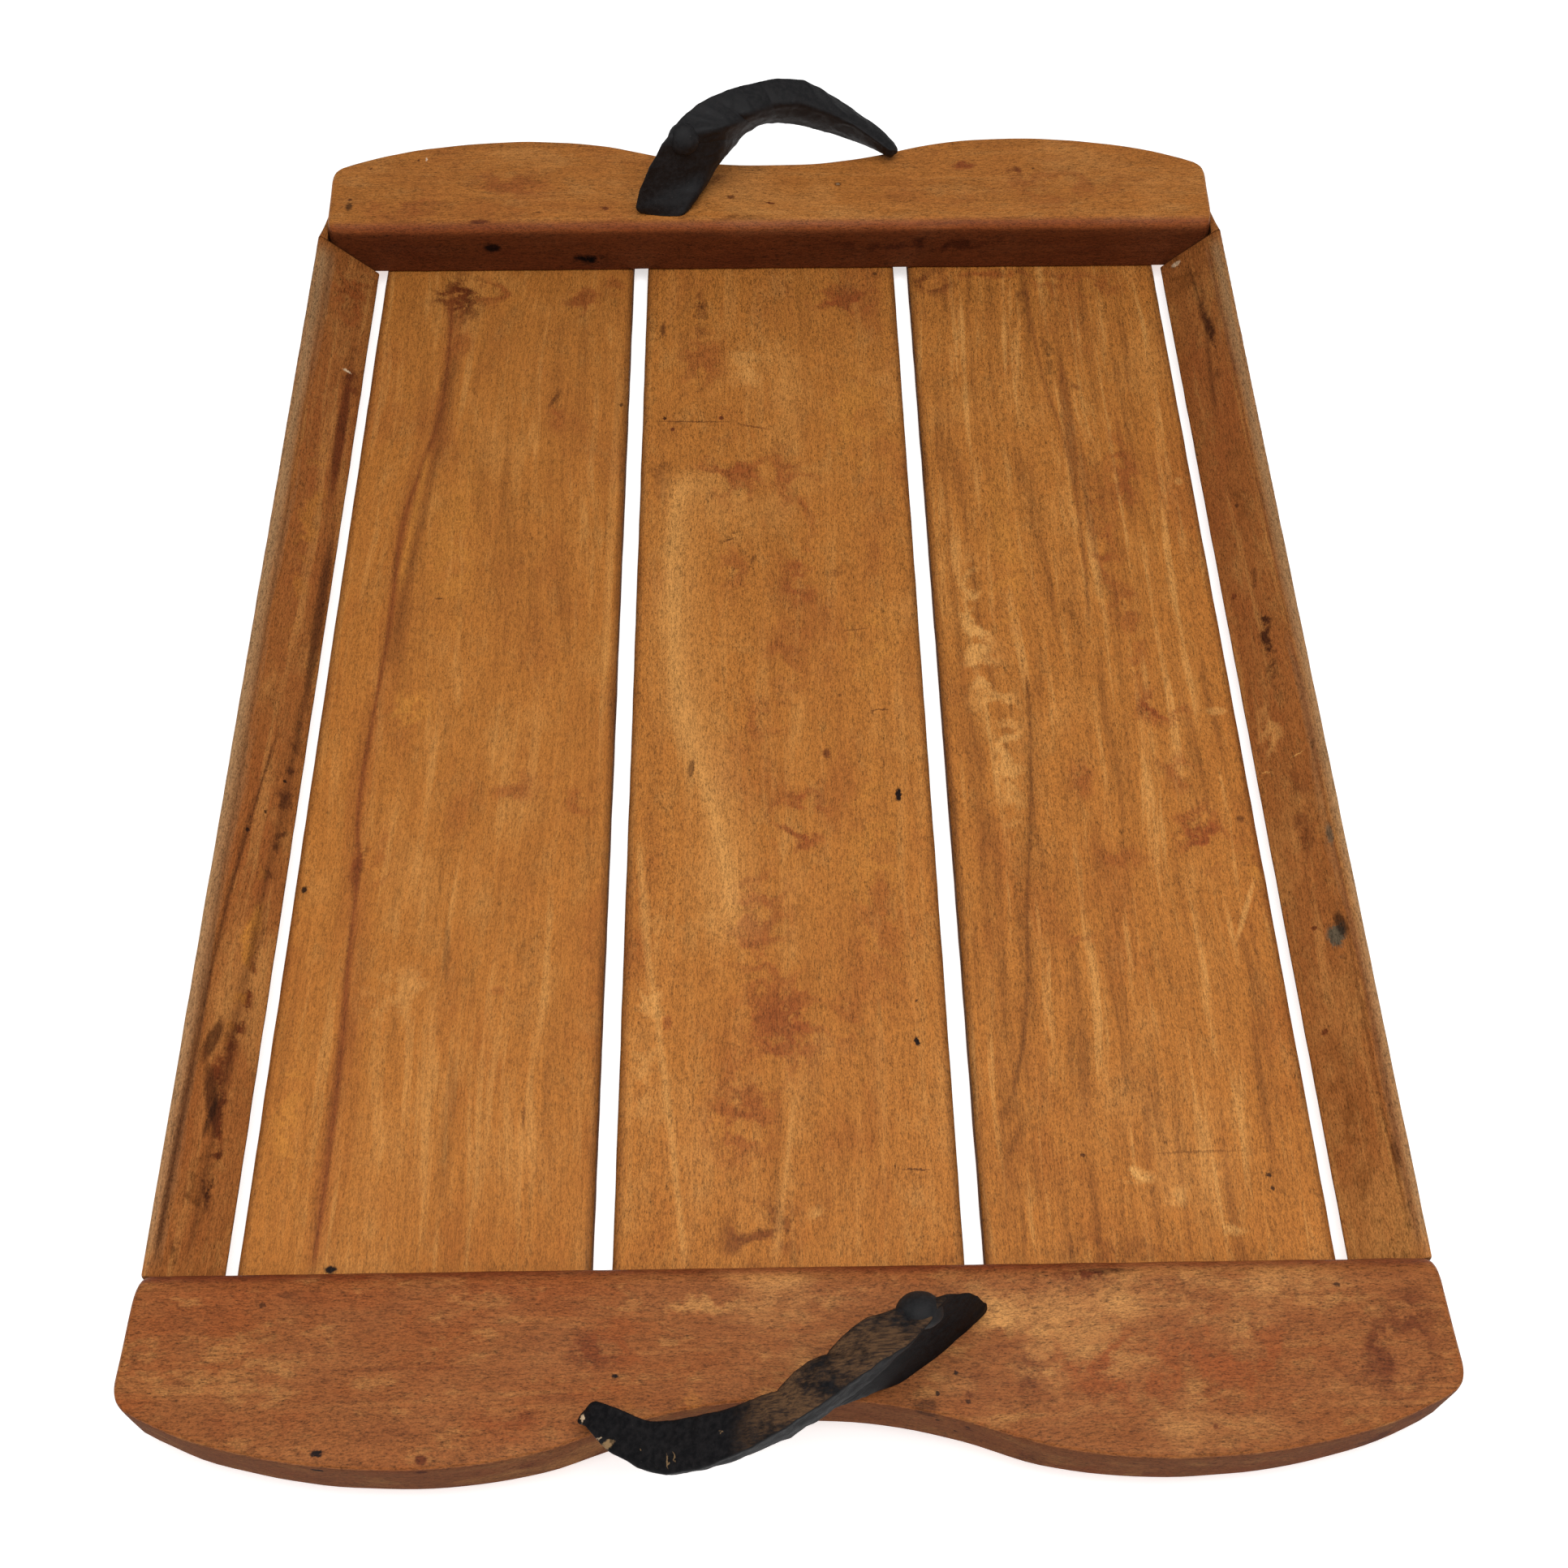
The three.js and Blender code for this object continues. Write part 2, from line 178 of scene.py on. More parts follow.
def rounded(corners, radii, steps=6, spacing=None):
    """Points round a closed polygon with its corners rounded, with points between on long sides."""
    points = []
    count = len(corners)
    for i, corner in enumerate(corners):
        here = Vector(corner)
        before = (Vector(corners[i - 1]) - here).normalized()
        after = (Vector(corners[(i + 1) % count]) - here).normalized()
        start = here + before * radii[i]
        end = here + after * radii[i]
        for k in range(steps + 1):
            t = k / steps
            points.append(start * (1 - t) ** 2 + here * 2 * t * (1 - t) + end * t ** 2)
    if spacing is None:
        return points
    filled = []
    for a, b in zip(points, points[1:] + points[:1]):
        filled.append(a)
        parts = int((b - a).length / spacing)
        filled.extend(a.lerp(b, k / (parts + 1)) for k in range(1, parts + 1))
    return filled


def inset(points, distance):
    """Moves each point of a closed outline inward along its normal."""
    moved = []
    for before, here, after in zip(points[-1:] + points[:-1], points, points[1:] + points[:1]):
        along = (after - before).normalized()
        moved.append(here + Vector((-along.y, along.x)) * distance)
    return moved


def skin(rings):
    """Faces over a list of rings with equal counts, with a face over each end."""
    size = len(rings[0])
    vertices = [p for ring in rings for p in ring]
    faces = []
    for i in range(len(rings) - 1):
        for j in range(size):
            a = i * size + j
            b = i * size + (j + 1) % size
            faces.append((a, b, b + size, a + size))
    faces.append(tuple(reversed(range(size))))
    faces.append(tuple(range(len(vertices) - size, len(vertices))))
    return vertices, faces


def wear(p, depth_and_size):
    """A small uneven push, for hand-worn wood."""
    depth, size = depth_and_size
    return noise.noise_vector(p / size) * depth


# ---- materials

def linear(value):
    """A screen value from 0 to 255 as the linear value that shaders take."""
    if value < 11:
        return value / 255 / 12.92
    return ((value / 255 + 0.055) / 1.055) ** 2.4


def colour(red, green, blue):
    return (linear(red), linear(green), linear(blue), 1)


TONES = {
    "gold": colour(184, 115, 50),
    "honey": colour(194, 126, 54),
    "rail": colour(160, 96, 46),
    "board": colour(152, 90, 45),
    "light": colour(222, 160, 88),
    "red": colour(150, 79, 36),
    "rust": colour(106, 52, 24),
    "dark": colour(80, 42, 20),
    "brown": colour(128, 74, 32),
    "black": colour(30, 16, 12),
    "grey": colour(96, 84, 66),
    "tan": colour(170, 136, 96),
    "bone": colour(226, 196, 160),
}


# A mark less than this half width or height, in mm, counts as small.
SMALL_MARK = 3

# The wood's noise, from the broadest to the finest: changes per mm across the grain and along it,
# detail and roughness.
WOOD_LAYERS = {
    "cloud": (0.034, 0.017, 5, 0.62),
    "mottle": (0.14, 0.06, 4, 0.7),
    "bands": (0.2, 0.01, 4, 0.65),
    "lines": (0.9, 0.05, 2, 0.6),
    "fibre": (2.1, 0.42, 3, 0.72),
    "fine": (3.6, 1.3, 2, 0.7),
}
# What each layer paints: the noise values where it starts and is full, the tone, and its share of
# the wood's blotches or stripes.
WOOD_PAINT = (
    ("cloud", 0.5, 0.7, "red", "blotches", 1.0),
    ("cloud", 0.48, 0.32, "light", "blotches", 0.5),
    ("mottle", 0.5, 0.72, "rust", "blotches", 0.55),
    ("mottle", 0.48, 0.3, "light", "blotches", 0.4),
    ("bands", 0.5, 0.7, "brown", "stripes", 1.0),
    ("bands", 0.48, 0.3, "light", "stripes", 1.0),
)
WOOD_GLOSS = 0.12
WOOD_ROUGHNESS = (0.44, 0.6)
SAWN_ROUGHNESS = 0.95
# Painted shade: upright faces are darkened toward this, as if less lit than the tops.
UPRIGHT_PAINTED_SHADE = (0.46, 0.44, 0.46, 1)
# Painted shade: the end boards' inner faces and their round-over are darkened by this.
INNER_FACE_PAINTED_SHADE = (0.6, 0.42, 0.5, 1)


class Graph:
    """Short ways to lay out a material's nodes."""

    def __init__(self, name):
        self.material = bpy.data.materials.new(name)
        self.material.use_nodes = True
        self.tree = self.material.node_tree
        self.shader = self.tree.nodes["Principled BSDF"]

    def add(self, kind, **settings):
        node = self.tree.nodes.new(kind)
        for key, value in settings.items():
            setattr(node, key, value)
        return node

    def put(self, socket, value):
        if isinstance(value, bpy.types.NodeSocket):
            self.tree.links.new(value, socket)
        else:
            socket.default_value = value

    def math(self, operation, a, b=0.0, c=0.0, clamp=False):
        node = self.add("ShaderNodeMath", operation=operation, use_clamp=clamp)
        for socket, value in zip(node.inputs, (a, b, c)):
            self.put(socket, value)
        return node.outputs[0]

    def vector(self, operation, a, b):
        node = self.add("ShaderNodeVectorMath", operation=operation)
        self.put(node.inputs[0], a)
        self.put(node.inputs[3 if operation == "SCALE" else 1], b)
        return node.outputs[0]

    def combine(self, x, y, z=0.0):
        node = self.add("ShaderNodeCombineXYZ")
        for socket, value in zip(node.inputs, (x, y, z)):
            self.put(socket, value)
        return node.outputs[0]

    def separate(self, vector):
        node = self.add("ShaderNodeSeparateXYZ")
        self.put(node.inputs[0], vector)
        return tuple(node.outputs)

    def noise(self, position, scale=1.0, detail=2.0, roughness=0.5, output="Factor"):
        node = self.add("ShaderNodeTexNoise")
        self.put(node.inputs["Vector"], position)
        self.put(node.inputs["Scale"], scale)
        self.put(node.inputs["Detail"], detail)
        self.put(node.inputs["Roughness"], roughness)
        return node.outputs[0 if output == "Factor" else 1]

    def ramp(self, value, low, high, start=0.0, end=1.0):
        """Smoothly from start to end as value goes from low to high."""
        node = self.add("ShaderNodeMapRange", interpolation_type="SMOOTHSTEP")
        for socket, given in zip(node.inputs, (value, low, high, start, end)):
            self.put(socket, given)
        return node.outputs[0]

    def mix(self, factor, a, b, blend="MIX"):
        node = self.add("ShaderNodeMix", data_type="RGBA", blend_type=blend, clamp_factor=True)
        self.put(node.inputs[0], factor)
        self.put(node.inputs[6], a)
        self.put(node.inputs[7], b)
        return node.outputs[2]

    def curve(self, value, points, low, high):
        """A smooth curve through (value, result) points, where results lie between low and high."""
        ends = (points[0][0], points[-1][0])
        start, stop = min(ends), max(ends)
        share = self.math("DIVIDE", self.math("SUBTRACT", value, start), stop - start, clamp=True)
        node = self.add("ShaderNodeFloatCurve")
        line = node.mapping.curves[0]
        steps = sorted(((v - start) / (stop - start), (r - low) / (high - low)) for v, r in points)
        line.points[0].location = steps[0]
        line.points[1].location = steps[-1]
        for step in steps[1:-1]:
            line.points.new(*step)
        node.mapping.update()
        self.put(node.inputs["Value"], share)
        return self.math("MULTIPLY_ADD", node.outputs[0], high - low, low)

    def nudge(self, position, scale, reach, **settings):
        """An uneven push of up to about half of reach, which varies with the position."""
        push = self.noise(self.vector("SCALE", position, scale), output="Color", **settings)
        return self.vector("SCALE", self.vector("SUBTRACT", push, (0.5, 0.5, 0.5)), reach)

    def bump(self, height, strength, distance):
        node = self.add("ShaderNodeBump")
        self.put(node.inputs["Height"], height)
        node.inputs["Strength"].default_value = strength
        node.inputs["Distance"].default_value = distance
        self.tree.links.new(node.outputs[0], self.shader.inputs["Normal"])


def spot_group():
    """A soft oval: 1 in its middle, 0 outside. Position, centre and size are in mm."""
    group = bpy.data.node_groups.new("spot", "ShaderNodeTree")
    for name, kind in (("Position", "Vector"), ("Centre", "Vector"), ("Size", "Vector"),
                       ("Angle", "Float"), ("Core", "Float")):
        group.interface.new_socket(name, in_out="INPUT", socket_type="NodeSocket" + kind)
    group.interface.new_socket("Factor", in_out="OUTPUT", socket_type="NodeSocketFloat")
    given = group.nodes.new("NodeGroupInput")
    result = group.nodes.new("NodeGroupOutput")
    offset, share, length = [group.nodes.new("ShaderNodeVectorMath") for _ in range(3)]
    offset.operation = "SUBTRACT"
    share.operation = "DIVIDE"
    length.operation = "LENGTH"
    turn = group.nodes.new("ShaderNodeVectorRotate")
    turn.rotation_type = "Z_AXIS"
    fade = group.nodes.new("ShaderNodeMapRange")
    fade.interpolation_type = "SMOOTHSTEP"
    fade.inputs["From Min"].default_value = 1.0
    for start, end in (
        (given.outputs["Position"], offset.inputs[0]), (given.outputs["Centre"], offset.inputs[1]),
        (offset.outputs[0], turn.inputs["Vector"]), (given.outputs["Angle"], turn.inputs["Angle"]),
        (turn.outputs[0], share.inputs[0]), (given.outputs["Size"], share.inputs[1]),
        (share.outputs[0], length.inputs[0]), (length.outputs["Value"], fade.inputs["Value"]),
        (given.outputs["Core"], fade.inputs["From Max"]), (fade.outputs[0], result.inputs["Factor"]),
    ):
        group.links.new(start, end)
    return group


SPOT = spot_group()


def is_small(mark):
    return min(mark[2], mark[3]) < SMALL_MARK


def add_marks(graph, base, flat, marks, uneven):
    """Lays stains, knots and streaks over a colour. Small ones fade out less softly."""
    for mark in marks:
        x, y, wide, high, tone, strength, *turned = mark
        node = graph.add("ShaderNodeGroup", node_tree=SPOT)
        graph.put(node.inputs["Position"], flat)
        node.inputs["Centre"].default_value = (x, y, 0)
        node.inputs["Size"].default_value = (wide, high, 1)
        node.inputs["Angle"].default_value = math.radians(-turned[0]) if turned else 0
        node.inputs["Core"].default_value = 0.45 if is_small(mark) else 0.2
        share = graph.math("MULTIPLY", graph.math("MULTIPLY", node.outputs[0], strength), uneven)
        base = graph.mix(share, base, TONES[tone])
    return base


def add_veins(graph, base, flat, veins, uneven):
    """Lays lines that run along the grain over a colour."""
    across, along, _ = graph.separate(flat)
    for points, width, tone, strength in veins:
        reach = [r for _, r in points]
        low, high = min(reach) - 5, max(reach) + 5
        middle = graph.curve(along, points, low, high)
        away = graph.math("ABSOLUTE", graph.math("SUBTRACT", across, middle))
        wide = graph.math("MULTIPLY", graph.ramp(uneven, 0.3, 0.7, 0.55, 1.5), width)
        line = graph.math("SUBTRACT", 1.0, graph.math("DIVIDE", away, wide, clamp=True), clamp=True)
        ends = sorted(v for v, _ in points)
        start = graph.ramp(along, ends[0], ends[0] + 12)
        stop = graph.ramp(along, ends[-1] - 12, ends[-1], 1.0, 0.0)
        line = graph.math("MULTIPLY", line, graph.math("MULTIPLY", start, stop))
        line = graph.math("MULTIPLY", line, strength)
        base = graph.mix(line, base, TONES[tone])
    return base


def wood(name, seed, flat_of, along_x=False, base="gold", marks=(), veins=(), edges=None,
         stripes=0.35, blotches=0.35, flecks=1.0, tint=(1, 1, 1)):
    """Oiled, worn beech, with painted shade on its upright faces, on the end boards' inner faces, along
    the slats' long edges and toward the back of the tray. flat_of gives the surface's own x and y in mm
    from the object's position, and edges, where given, is the pair of x between which the surface lies
    and along which a thin painted shade runs."""
    graph = Graph(name)
    place = graph.vector("SCALE", graph.add("ShaderNodeTexCoord").outputs["Object"], 1000.0)
    x, y, z = graph.separate(place)
    layers = wood_layers(graph, graph.combine(y, x, z) if along_x else place, seed)
    shares = {"blotches": blotches, "stripes": stripes}
    paint = TONES[base]
    for layer, low, high, tone, kind, share in WOOD_PAINT:
        cover = graph.ramp(layers[layer], low, high, 0.0, share * shares[kind])
        paint = graph.mix(cover, paint, TONES[tone])

    x_flat, y_flat = flat_of(graph, x, y, z)
    paint = wood_marks(graph, paint, graph.combine(x_flat, y_flat), layers, marks, veins)
    if edges:
        low, high = edges
        from_low = graph.math("SUBTRACT", x_flat, low)
        inward = graph.math("MINIMUM", from_low, graph.math("SUBTRACT", high, x_flat))
        # Painted shade: a thin darker band along the long edges, where the arrises turn away from the
        # light.
        paint = graph.mix(graph.ramp(inward, 3.0, 0.4, 0.0, 0.55), paint, TONES["dark"])
    paint = grain_and_painted_falloff(graph, paint, y, layers, flecks)

    normal = graph.add("ShaderNodeNewGeometry").outputs["Normal"]
    level = graph.math("ABSOLUTE", graph.separate(normal)[2])
    # Painted shade on upright faces, darker the more upright they stand.
    paint = graph.mix(graph.ramp(level, 0.55, 0.2, 0.0, 0.9), paint, UPRIGHT_PAINTED_SHADE, "MULTIPLY")
    if along_x:
        face = INNER_FACE / MM
        # Painted shade on the end boards' inner faces and round-over, which face away from the light.
        inner = graph.ramp(graph.math("ABSOLUTE", y), face + 4.5, face + 1.5, 0.0, 0.95)
        paint = graph.mix(inner, paint, INNER_FACE_PAINTED_SHADE, "MULTIPLY")
    paint = graph.mix(1.0, paint, tint + (1,), "MULTIPLY")

    graph.put(graph.shader.inputs["Base Color"], paint)
    sawn = graph.ramp(level, 0.55, 0.2, 0.0, SAWN_ROUGHNESS)
    rubbed = graph.ramp(layers["cloud"], 0.3, 0.7, *WOOD_ROUGHNESS)
    graph.put(graph.shader.inputs["Roughness"], graph.math("MAXIMUM", sawn, rubbed))
    graph.shader.inputs["Specular IOR Level"].default_value = WOOD_GLOSS
    graph.bump(graph.math("MULTIPLY_ADD", layers["fine"], 0.6, layers["fibre"]), 0.5, 0.16 * MM)
    return graph.material


def wood_layers(graph, grain, seed):
    """The wood's noise layers, with the grain along the position's y and drifting a little."""
    grain = graph.vector("ADD", grain, (seed * 37.0, seed * 91.0, seed * 53.0))
    drift = graph.noise(graph.vector("MULTIPLY", grain, (0.02, 0.006, 0.02)), output="Color")
    drift = graph.vector("SUBTRACT", drift, (0.5, 0.5, 0.5))
    grain = graph.vector("ADD", grain, graph.vector("MULTIPLY", drift, (14.0, 0.0, 14.0)))
    layers = {}
    for name, (across, along, detail, roughness) in WOOD_LAYERS.items():
        stretched = graph.vector("MULTIPLY", grain, (across, along, across))
        layers[name] = graph.noise(stretched, detail=detail, roughness=roughness)
    return layers


def wood_marks(graph, paint, flat, layers, marks, veins):
    """Stains with ragged outlines, then veins, then the small marks over both."""
    ragged = graph.nudge(flat, 0.07, 9.0, detail=3, roughness=0.5)
    torn = graph.vector("ADD", flat, graph.nudge(flat, 1.2, 1.3, detail=2))
    large = [mark for mark in marks if not is_small(mark)]
    small = [mark for mark in marks if is_small(mark)]
    patchy = graph.ramp(layers["mottle"], 0.3, 0.65, 1.7, 2.1)
    paint = add_marks(graph, paint, graph.vector("ADD", torn, ragged), large, patchy)
    paint = add_veins(graph, paint, torn, veins, layers["bands"])
    return add_marks(graph, paint, torn, small, 1.25)


def grain_and_painted_falloff(graph, paint, y, layers, flecks):
    """Lighter and darker grain and dark pores, over a painted falloff of light toward the back of the tray.
    """
    # Painted light: brighter at the front and darker toward the back, and darker again by the back board.
    shade = graph.ramp(y, -190.0, 190.0, 1.05, 0.92)
    shade = graph.math("MULTIPLY", shade, graph.ramp(y, 130.0, 205.0, 1.0, 0.88))
    amounts = {"lines": 0.45, "fibre": 2.2 * flecks, "fine": 1.9 * flecks, "mottle": 0.5}
    for layer, amount in amounts.items():
        shade = graph.math("MULTIPLY_ADD", graph.math("SUBTRACT", layers[layer], 0.5), amount, shade)
    coarse = graph.ramp(layers["fibre"], 0.56, 0.7)
    pores = graph.math("MULTIPLY", coarse, graph.ramp(layers["fine"], 0.45, 0.62))
    paint = graph.mix(graph.math("MULTIPLY", pores, 0.55 * flecks), paint, TONES["dark"])
    return graph.mix(1.0, paint, graph.combine(shade, shade, shade), "MULTIPLY")


def iron(name, seed, worn_from, worn_to, gloss, scuffs=()):
    """Blackened forged iron, with brown wear on top between two x in mm, where hands hold it."""
    graph = Graph(name)
    place = graph.vector("SCALE", graph.add("ShaderNodeTexCoord").outputs["Object"], 1000.0)
    spot = graph.vector("ADD", place, (seed * 31.0, seed * 17.0, 0.0))
    cloud = graph.noise(graph.vector("SCALE", spot, 0.09), detail=4, roughness=0.6)
    scale = graph.noise(graph.vector("SCALE", spot, 0.6), detail=4, roughness=0.65)
    pits = graph.noise(graph.vector("SCALE", spot, 2.5), detail=3, roughness=0.6)
    streak = graph.noise(graph.vector("MULTIPLY", spot, (0.35, 0.7, 0.5)), detail=4, roughness=0.7)
    x, y, z = graph.separate(place)
    lengthwise = graph.combine(graph.math("SUBTRACT", x, y), y, z)
    scratch = graph.vector("MULTIPLY", lengthwise, (0.16, 1.6, 1.6))
    scratch = graph.noise(scratch, detail=4, roughness=0.75)

    base = graph.mix(graph.ramp(scale, 0.35, 0.7), colour(16, 16, 18), colour(34, 32, 33))
    rising = graph.ramp(x, worn_from, worn_from + 12)
    falling = graph.ramp(x, worn_to - 10, worn_to, 1.0, 0.0)
    up = graph.separate(graph.add("ShaderNodeNewGeometry").outputs["Normal"])[2]
    worn = graph.math("MULTIPLY", graph.math("MULTIPLY", rising, falling), graph.ramp(up, 0.3, 0.65))
    rubbed = graph.ramp(graph.math("MULTIPLY_ADD", streak, 0.5, cloud), 0.55, 0.85)
    rubbed = graph.math("MULTIPLY", worn, rubbed)
    brown = graph.mix(graph.ramp(scratch, 0.35, 0.62), colour(52, 40, 34), colour(104, 76, 52))
    base = graph.mix(rubbed, base, brown)
    dull = graph.math("MULTIPLY", graph.ramp(streak, 0.58, 0.72), 0.5)
    base = graph.mix(dull, base, colour(28, 25, 24))
    bright = graph.math("MULTIPLY", graph.ramp(scratch, 0.66, 0.74), 0.25)
    base = graph.mix(bright, base, colour(120, 112, 104))
    uneven = graph.nudge(place, 0.8, 2.4, detail=3)
    base = add_marks(graph, base, graph.vector("ADD", graph.combine(x, y), uneven), scuffs, 1.0)

    graph.put(graph.shader.inputs["Base Color"], base)
    graph.shader.inputs["Specular IOR Level"].default_value = gloss
    graph.put(graph.shader.inputs["Roughness"], graph.ramp(scale, 0.3, 0.7, 0.58, 0.78))
    graph.bump(graph.math("MULTIPLY_ADD", pits, 0.5, scale), 0.4, 0.25 * MM)
    return graph.material


def steel():
    graph = Graph("screw_steel")
    place = graph.vector("SCALE", graph.add("ShaderNodeTexCoord").outputs["Object"], 1000.0)
    dull = graph.noise(place, 0.8, detail=3)
    base = graph.mix(graph.ramp(dull, 0.35, 0.7), colour(150, 150, 152), colour(92, 88, 84))
    graph.put(graph.shader.inputs["Base Color"], base)
    graph.shader.inputs["Metallic"].default_value = 1.0
    graph.put(graph.shader.inputs["Roughness"], graph.ramp(dull, 0.3, 0.7, 0.3, 0.55))
    graph.bump(graph.noise(place, 3.0, detail=2), 0.15, 0.05 * MM)
    return graph.material


# The three ways a surface's own x and y are taken from the object's position, in mm.

def slat_flat(graph, x, y, z):
    return x, y


def rail_flat(graph, x, y, z):
    """x runs up the rail's slope from its lower inner edge."""
    out = graph.math("SUBTRACT", graph.math("ABSOLUTE", x), RAIL_FOOT / MM)
    up = graph.math("SUBTRACT", z, SLAT_TOP / MM)
    slope = graph.math("MULTIPLY", out, math.cos(RAIL_LEAN))
    return graph.math("MULTIPLY_ADD", up, math.sin(RAIL_LEAN), slope), y


def board_flat(graph, x, y, z):
    """y carries on down the inner face, so the top's pattern folds over its edge."""
    drop = graph.math("SUBTRACT", BOARD_TOP / MM, z)
    return x, graph.math("SUBTRACT", graph.math("ABSOLUTE", y), drop)


# What time has left on each piece of wood, and in FRONT_SCUFFS on the front handle, in the x and y
# that the functions above give; the rails' tables also hold a painted sheen along their rounded top
# edge. Marks: centre x and y, half width and half height in mm, tone, strength, and the angle in
# degrees where one is turned. Veins: points (along, across), width, tone, strength.

LEFT_MARKS = (
    (-119, 186, 15, 20, "rust", 0.55), (-103, 188, 14, 12, "red", 0.4), (-118, 160, 9, 18, "red", 0.3),
    (-72, 184, 9, 17, "red", 0.45), (-60, 190, 7, 9, "red", 0.3), (-80, 131, 1.2, 6, "dark", 0.5, -25),
    (-80, 122, 5, 9, "red", 0.3), (-84, -38, 13, 11, "red", 0.35), (-64, -44, 9, 9, "red", 0.3),
    (-100, -97, 1.6, 15, "dark", 0.3, 4), (-95, -152, 2.6, 32, "dark", 0.2),
    (-130, -66, 4, 15, "rust", 0.5), (-122, -66, 5, 20, "red", 0.2),
    (-145, -75, 1.2, 1.7, "black", 0.75), (-114, 38, 1.6, 0.6, "black", 0.5),
    (-123, -193, 2.2, 1.4, "black", 0.85), (-112, -112, 20, 14, "light", 0.22, 10),
    (-120, -8, 10, 12, "honey", 0.5), (-140, -150, 6, 40, "honey", 0.4), (-57, 60, 2.2, 120, "light", 0.15),
    (-110, 60, 12, 60, "honey", 0.3), (-84, -110, 3, 2, "red", 0.3), (-55.5, 128, 1, 1.2, "black", 0.6),
    (-74, -150, 0.6, 5, "dark", 0.4),
)
LEFT_VEINS = (
    (((195, -124), (170, -121), (134, -120.7), (97, -125.5), (62, -129.7), (27, -129.6),
      (-10, -131), (-43, -132), (-68, -129.5), (-98, -129), (-130, -127.5),
      (-198, -128)), 1.5, "rust", 0.85),
    (((195, -122), (134, -119.5), (97, -124), (62, -128.5), (27, -128.5), (-43, -131),
      (-98, -128), (-198, -127)), 5.5, "red", 0.45),
    (((160, -118), (134, -118.5), (90, -121.5), (60, -124), (38, -125.8),
      (5, -128)), 3.2, "brown", 0.55),
    (((110, -123.5), (85, -125), (60, -127), (38, -127.8)), 1.6, "honey", 0.7),
)

MIDDLE_MARKS = (
    (28, 182, 20, 12, "red", 0.5), (-27, 176, 4, 17, "rust", 0.4), (-26, 150, 13, 24, "red", 0.35),
    (-41, 167, 1.2, 5, "dark", 0.6), (-10, 150, 9, 26, "light", 0.25), (30, 120, 16, 40, "honey", 0.4),
    (-30, 119.3, 18, 0.5, "dark", 0.5, -1), (-7, 116.5, 8, 0.6, "rust", 0.45, -14),
    (-14, 96, 20, 22, "red", 0.45), (4, 92, 8, 24, "red", 0.35), (12, 82, 5, 24, "red", 0.3),
    (8, 46, 10, 22, "red", 0.4), (20, 49, 7, 4, "rust", 0.35, 15), (-14, 52, 8, 18, "red", 0.3),
    (3, 12, 11, 25, "red", 0.25), (-5, -12, 13, 16, "red", 0.25), (-40, 90, 7, 24, "brown", 0.3),
    (6, -52, 13, 24, "red", 0.5), (-8, -88, 15, 30, "red", 0.45), (0, -122, 17, 25, "red", 0.5),
    (-12, -150, 15, 25, "red", 0.4), (-8, -185, 17, 14, "rust", 0.4), (18, -122, 7, 20, "red", 0.25),
    (37.2, -43, 1.3, 3.3, "black", 0.98, -6), (38.2, -128, 0.9, 2, "black", 0.9, 12),
    (38.8, -115, 0.5, 0.8, "black", 0.7), (15, -27, 1.7, 2.3, "rust", 0.65),
    (-28, -32, 1.3, 5.5, "dark", 0.5, -8), (-34, -121, 1.8, 3.5, "red", 0.5),
    (-16, 63, 3.2, 0.5, "dark", 0.55, 24), (-14.5, 66, 0.8, 0.8, "dark", 0.5),
    (-8, 54, 0.9, 3, "dark", 0.45, -20), (33, -10, 3.6, 0.4, "dark", 0.65, 2),
    (30.4, -11, 0.5, 1.4, "dark", 0.5), (26, 23, 6, 0.5, "dark", 0.35, 8),
    (36, -167, 6, 0.35, "dark", 0.55, -3), (30, -166, 0.5, 0.8, "black", 0.5),
    (-39.5, 121, 0.9, 1.2, "dark", 0.8), (-36.5, 115.5, 1, 1.3, "rust", 0.8),
    (-19, 121, 1.3, 1.3, "rust", 0.8), (28, -70, 14, 60, "honey", 0.3),
    (-40, -120, 5, 50, "light", 0.25), (20, -4, 0.8, 0.8, "dark", 0.5), (8, -182, 6, 8, "light", 0.3),
    (30, 20, 14, 30, "honey", 0.35), (40, 197, 1.4, 1.2, "black", 0.5),
)
MIDDLE_VEINS = (
    (((95, -33), (70, -35.5), (45, -36), (10, -34), (-20, -29), (-45, -22),
      (-65, -18), (-90, -15)), 5, "light", 0.5),
    (((100, -30), (60, -33), (10, -31), (-40, -20), (-100, -14)), 12, "light", 0.35),
    (((-55, -44), (-90, -41), (-120, -37), (-150, -33), (-198, -27.5)), 1.8, "light", 0.5),
    (((-140, 3), (-165, 0), (-198, -4)), 1.8, "light", 0.4),
)

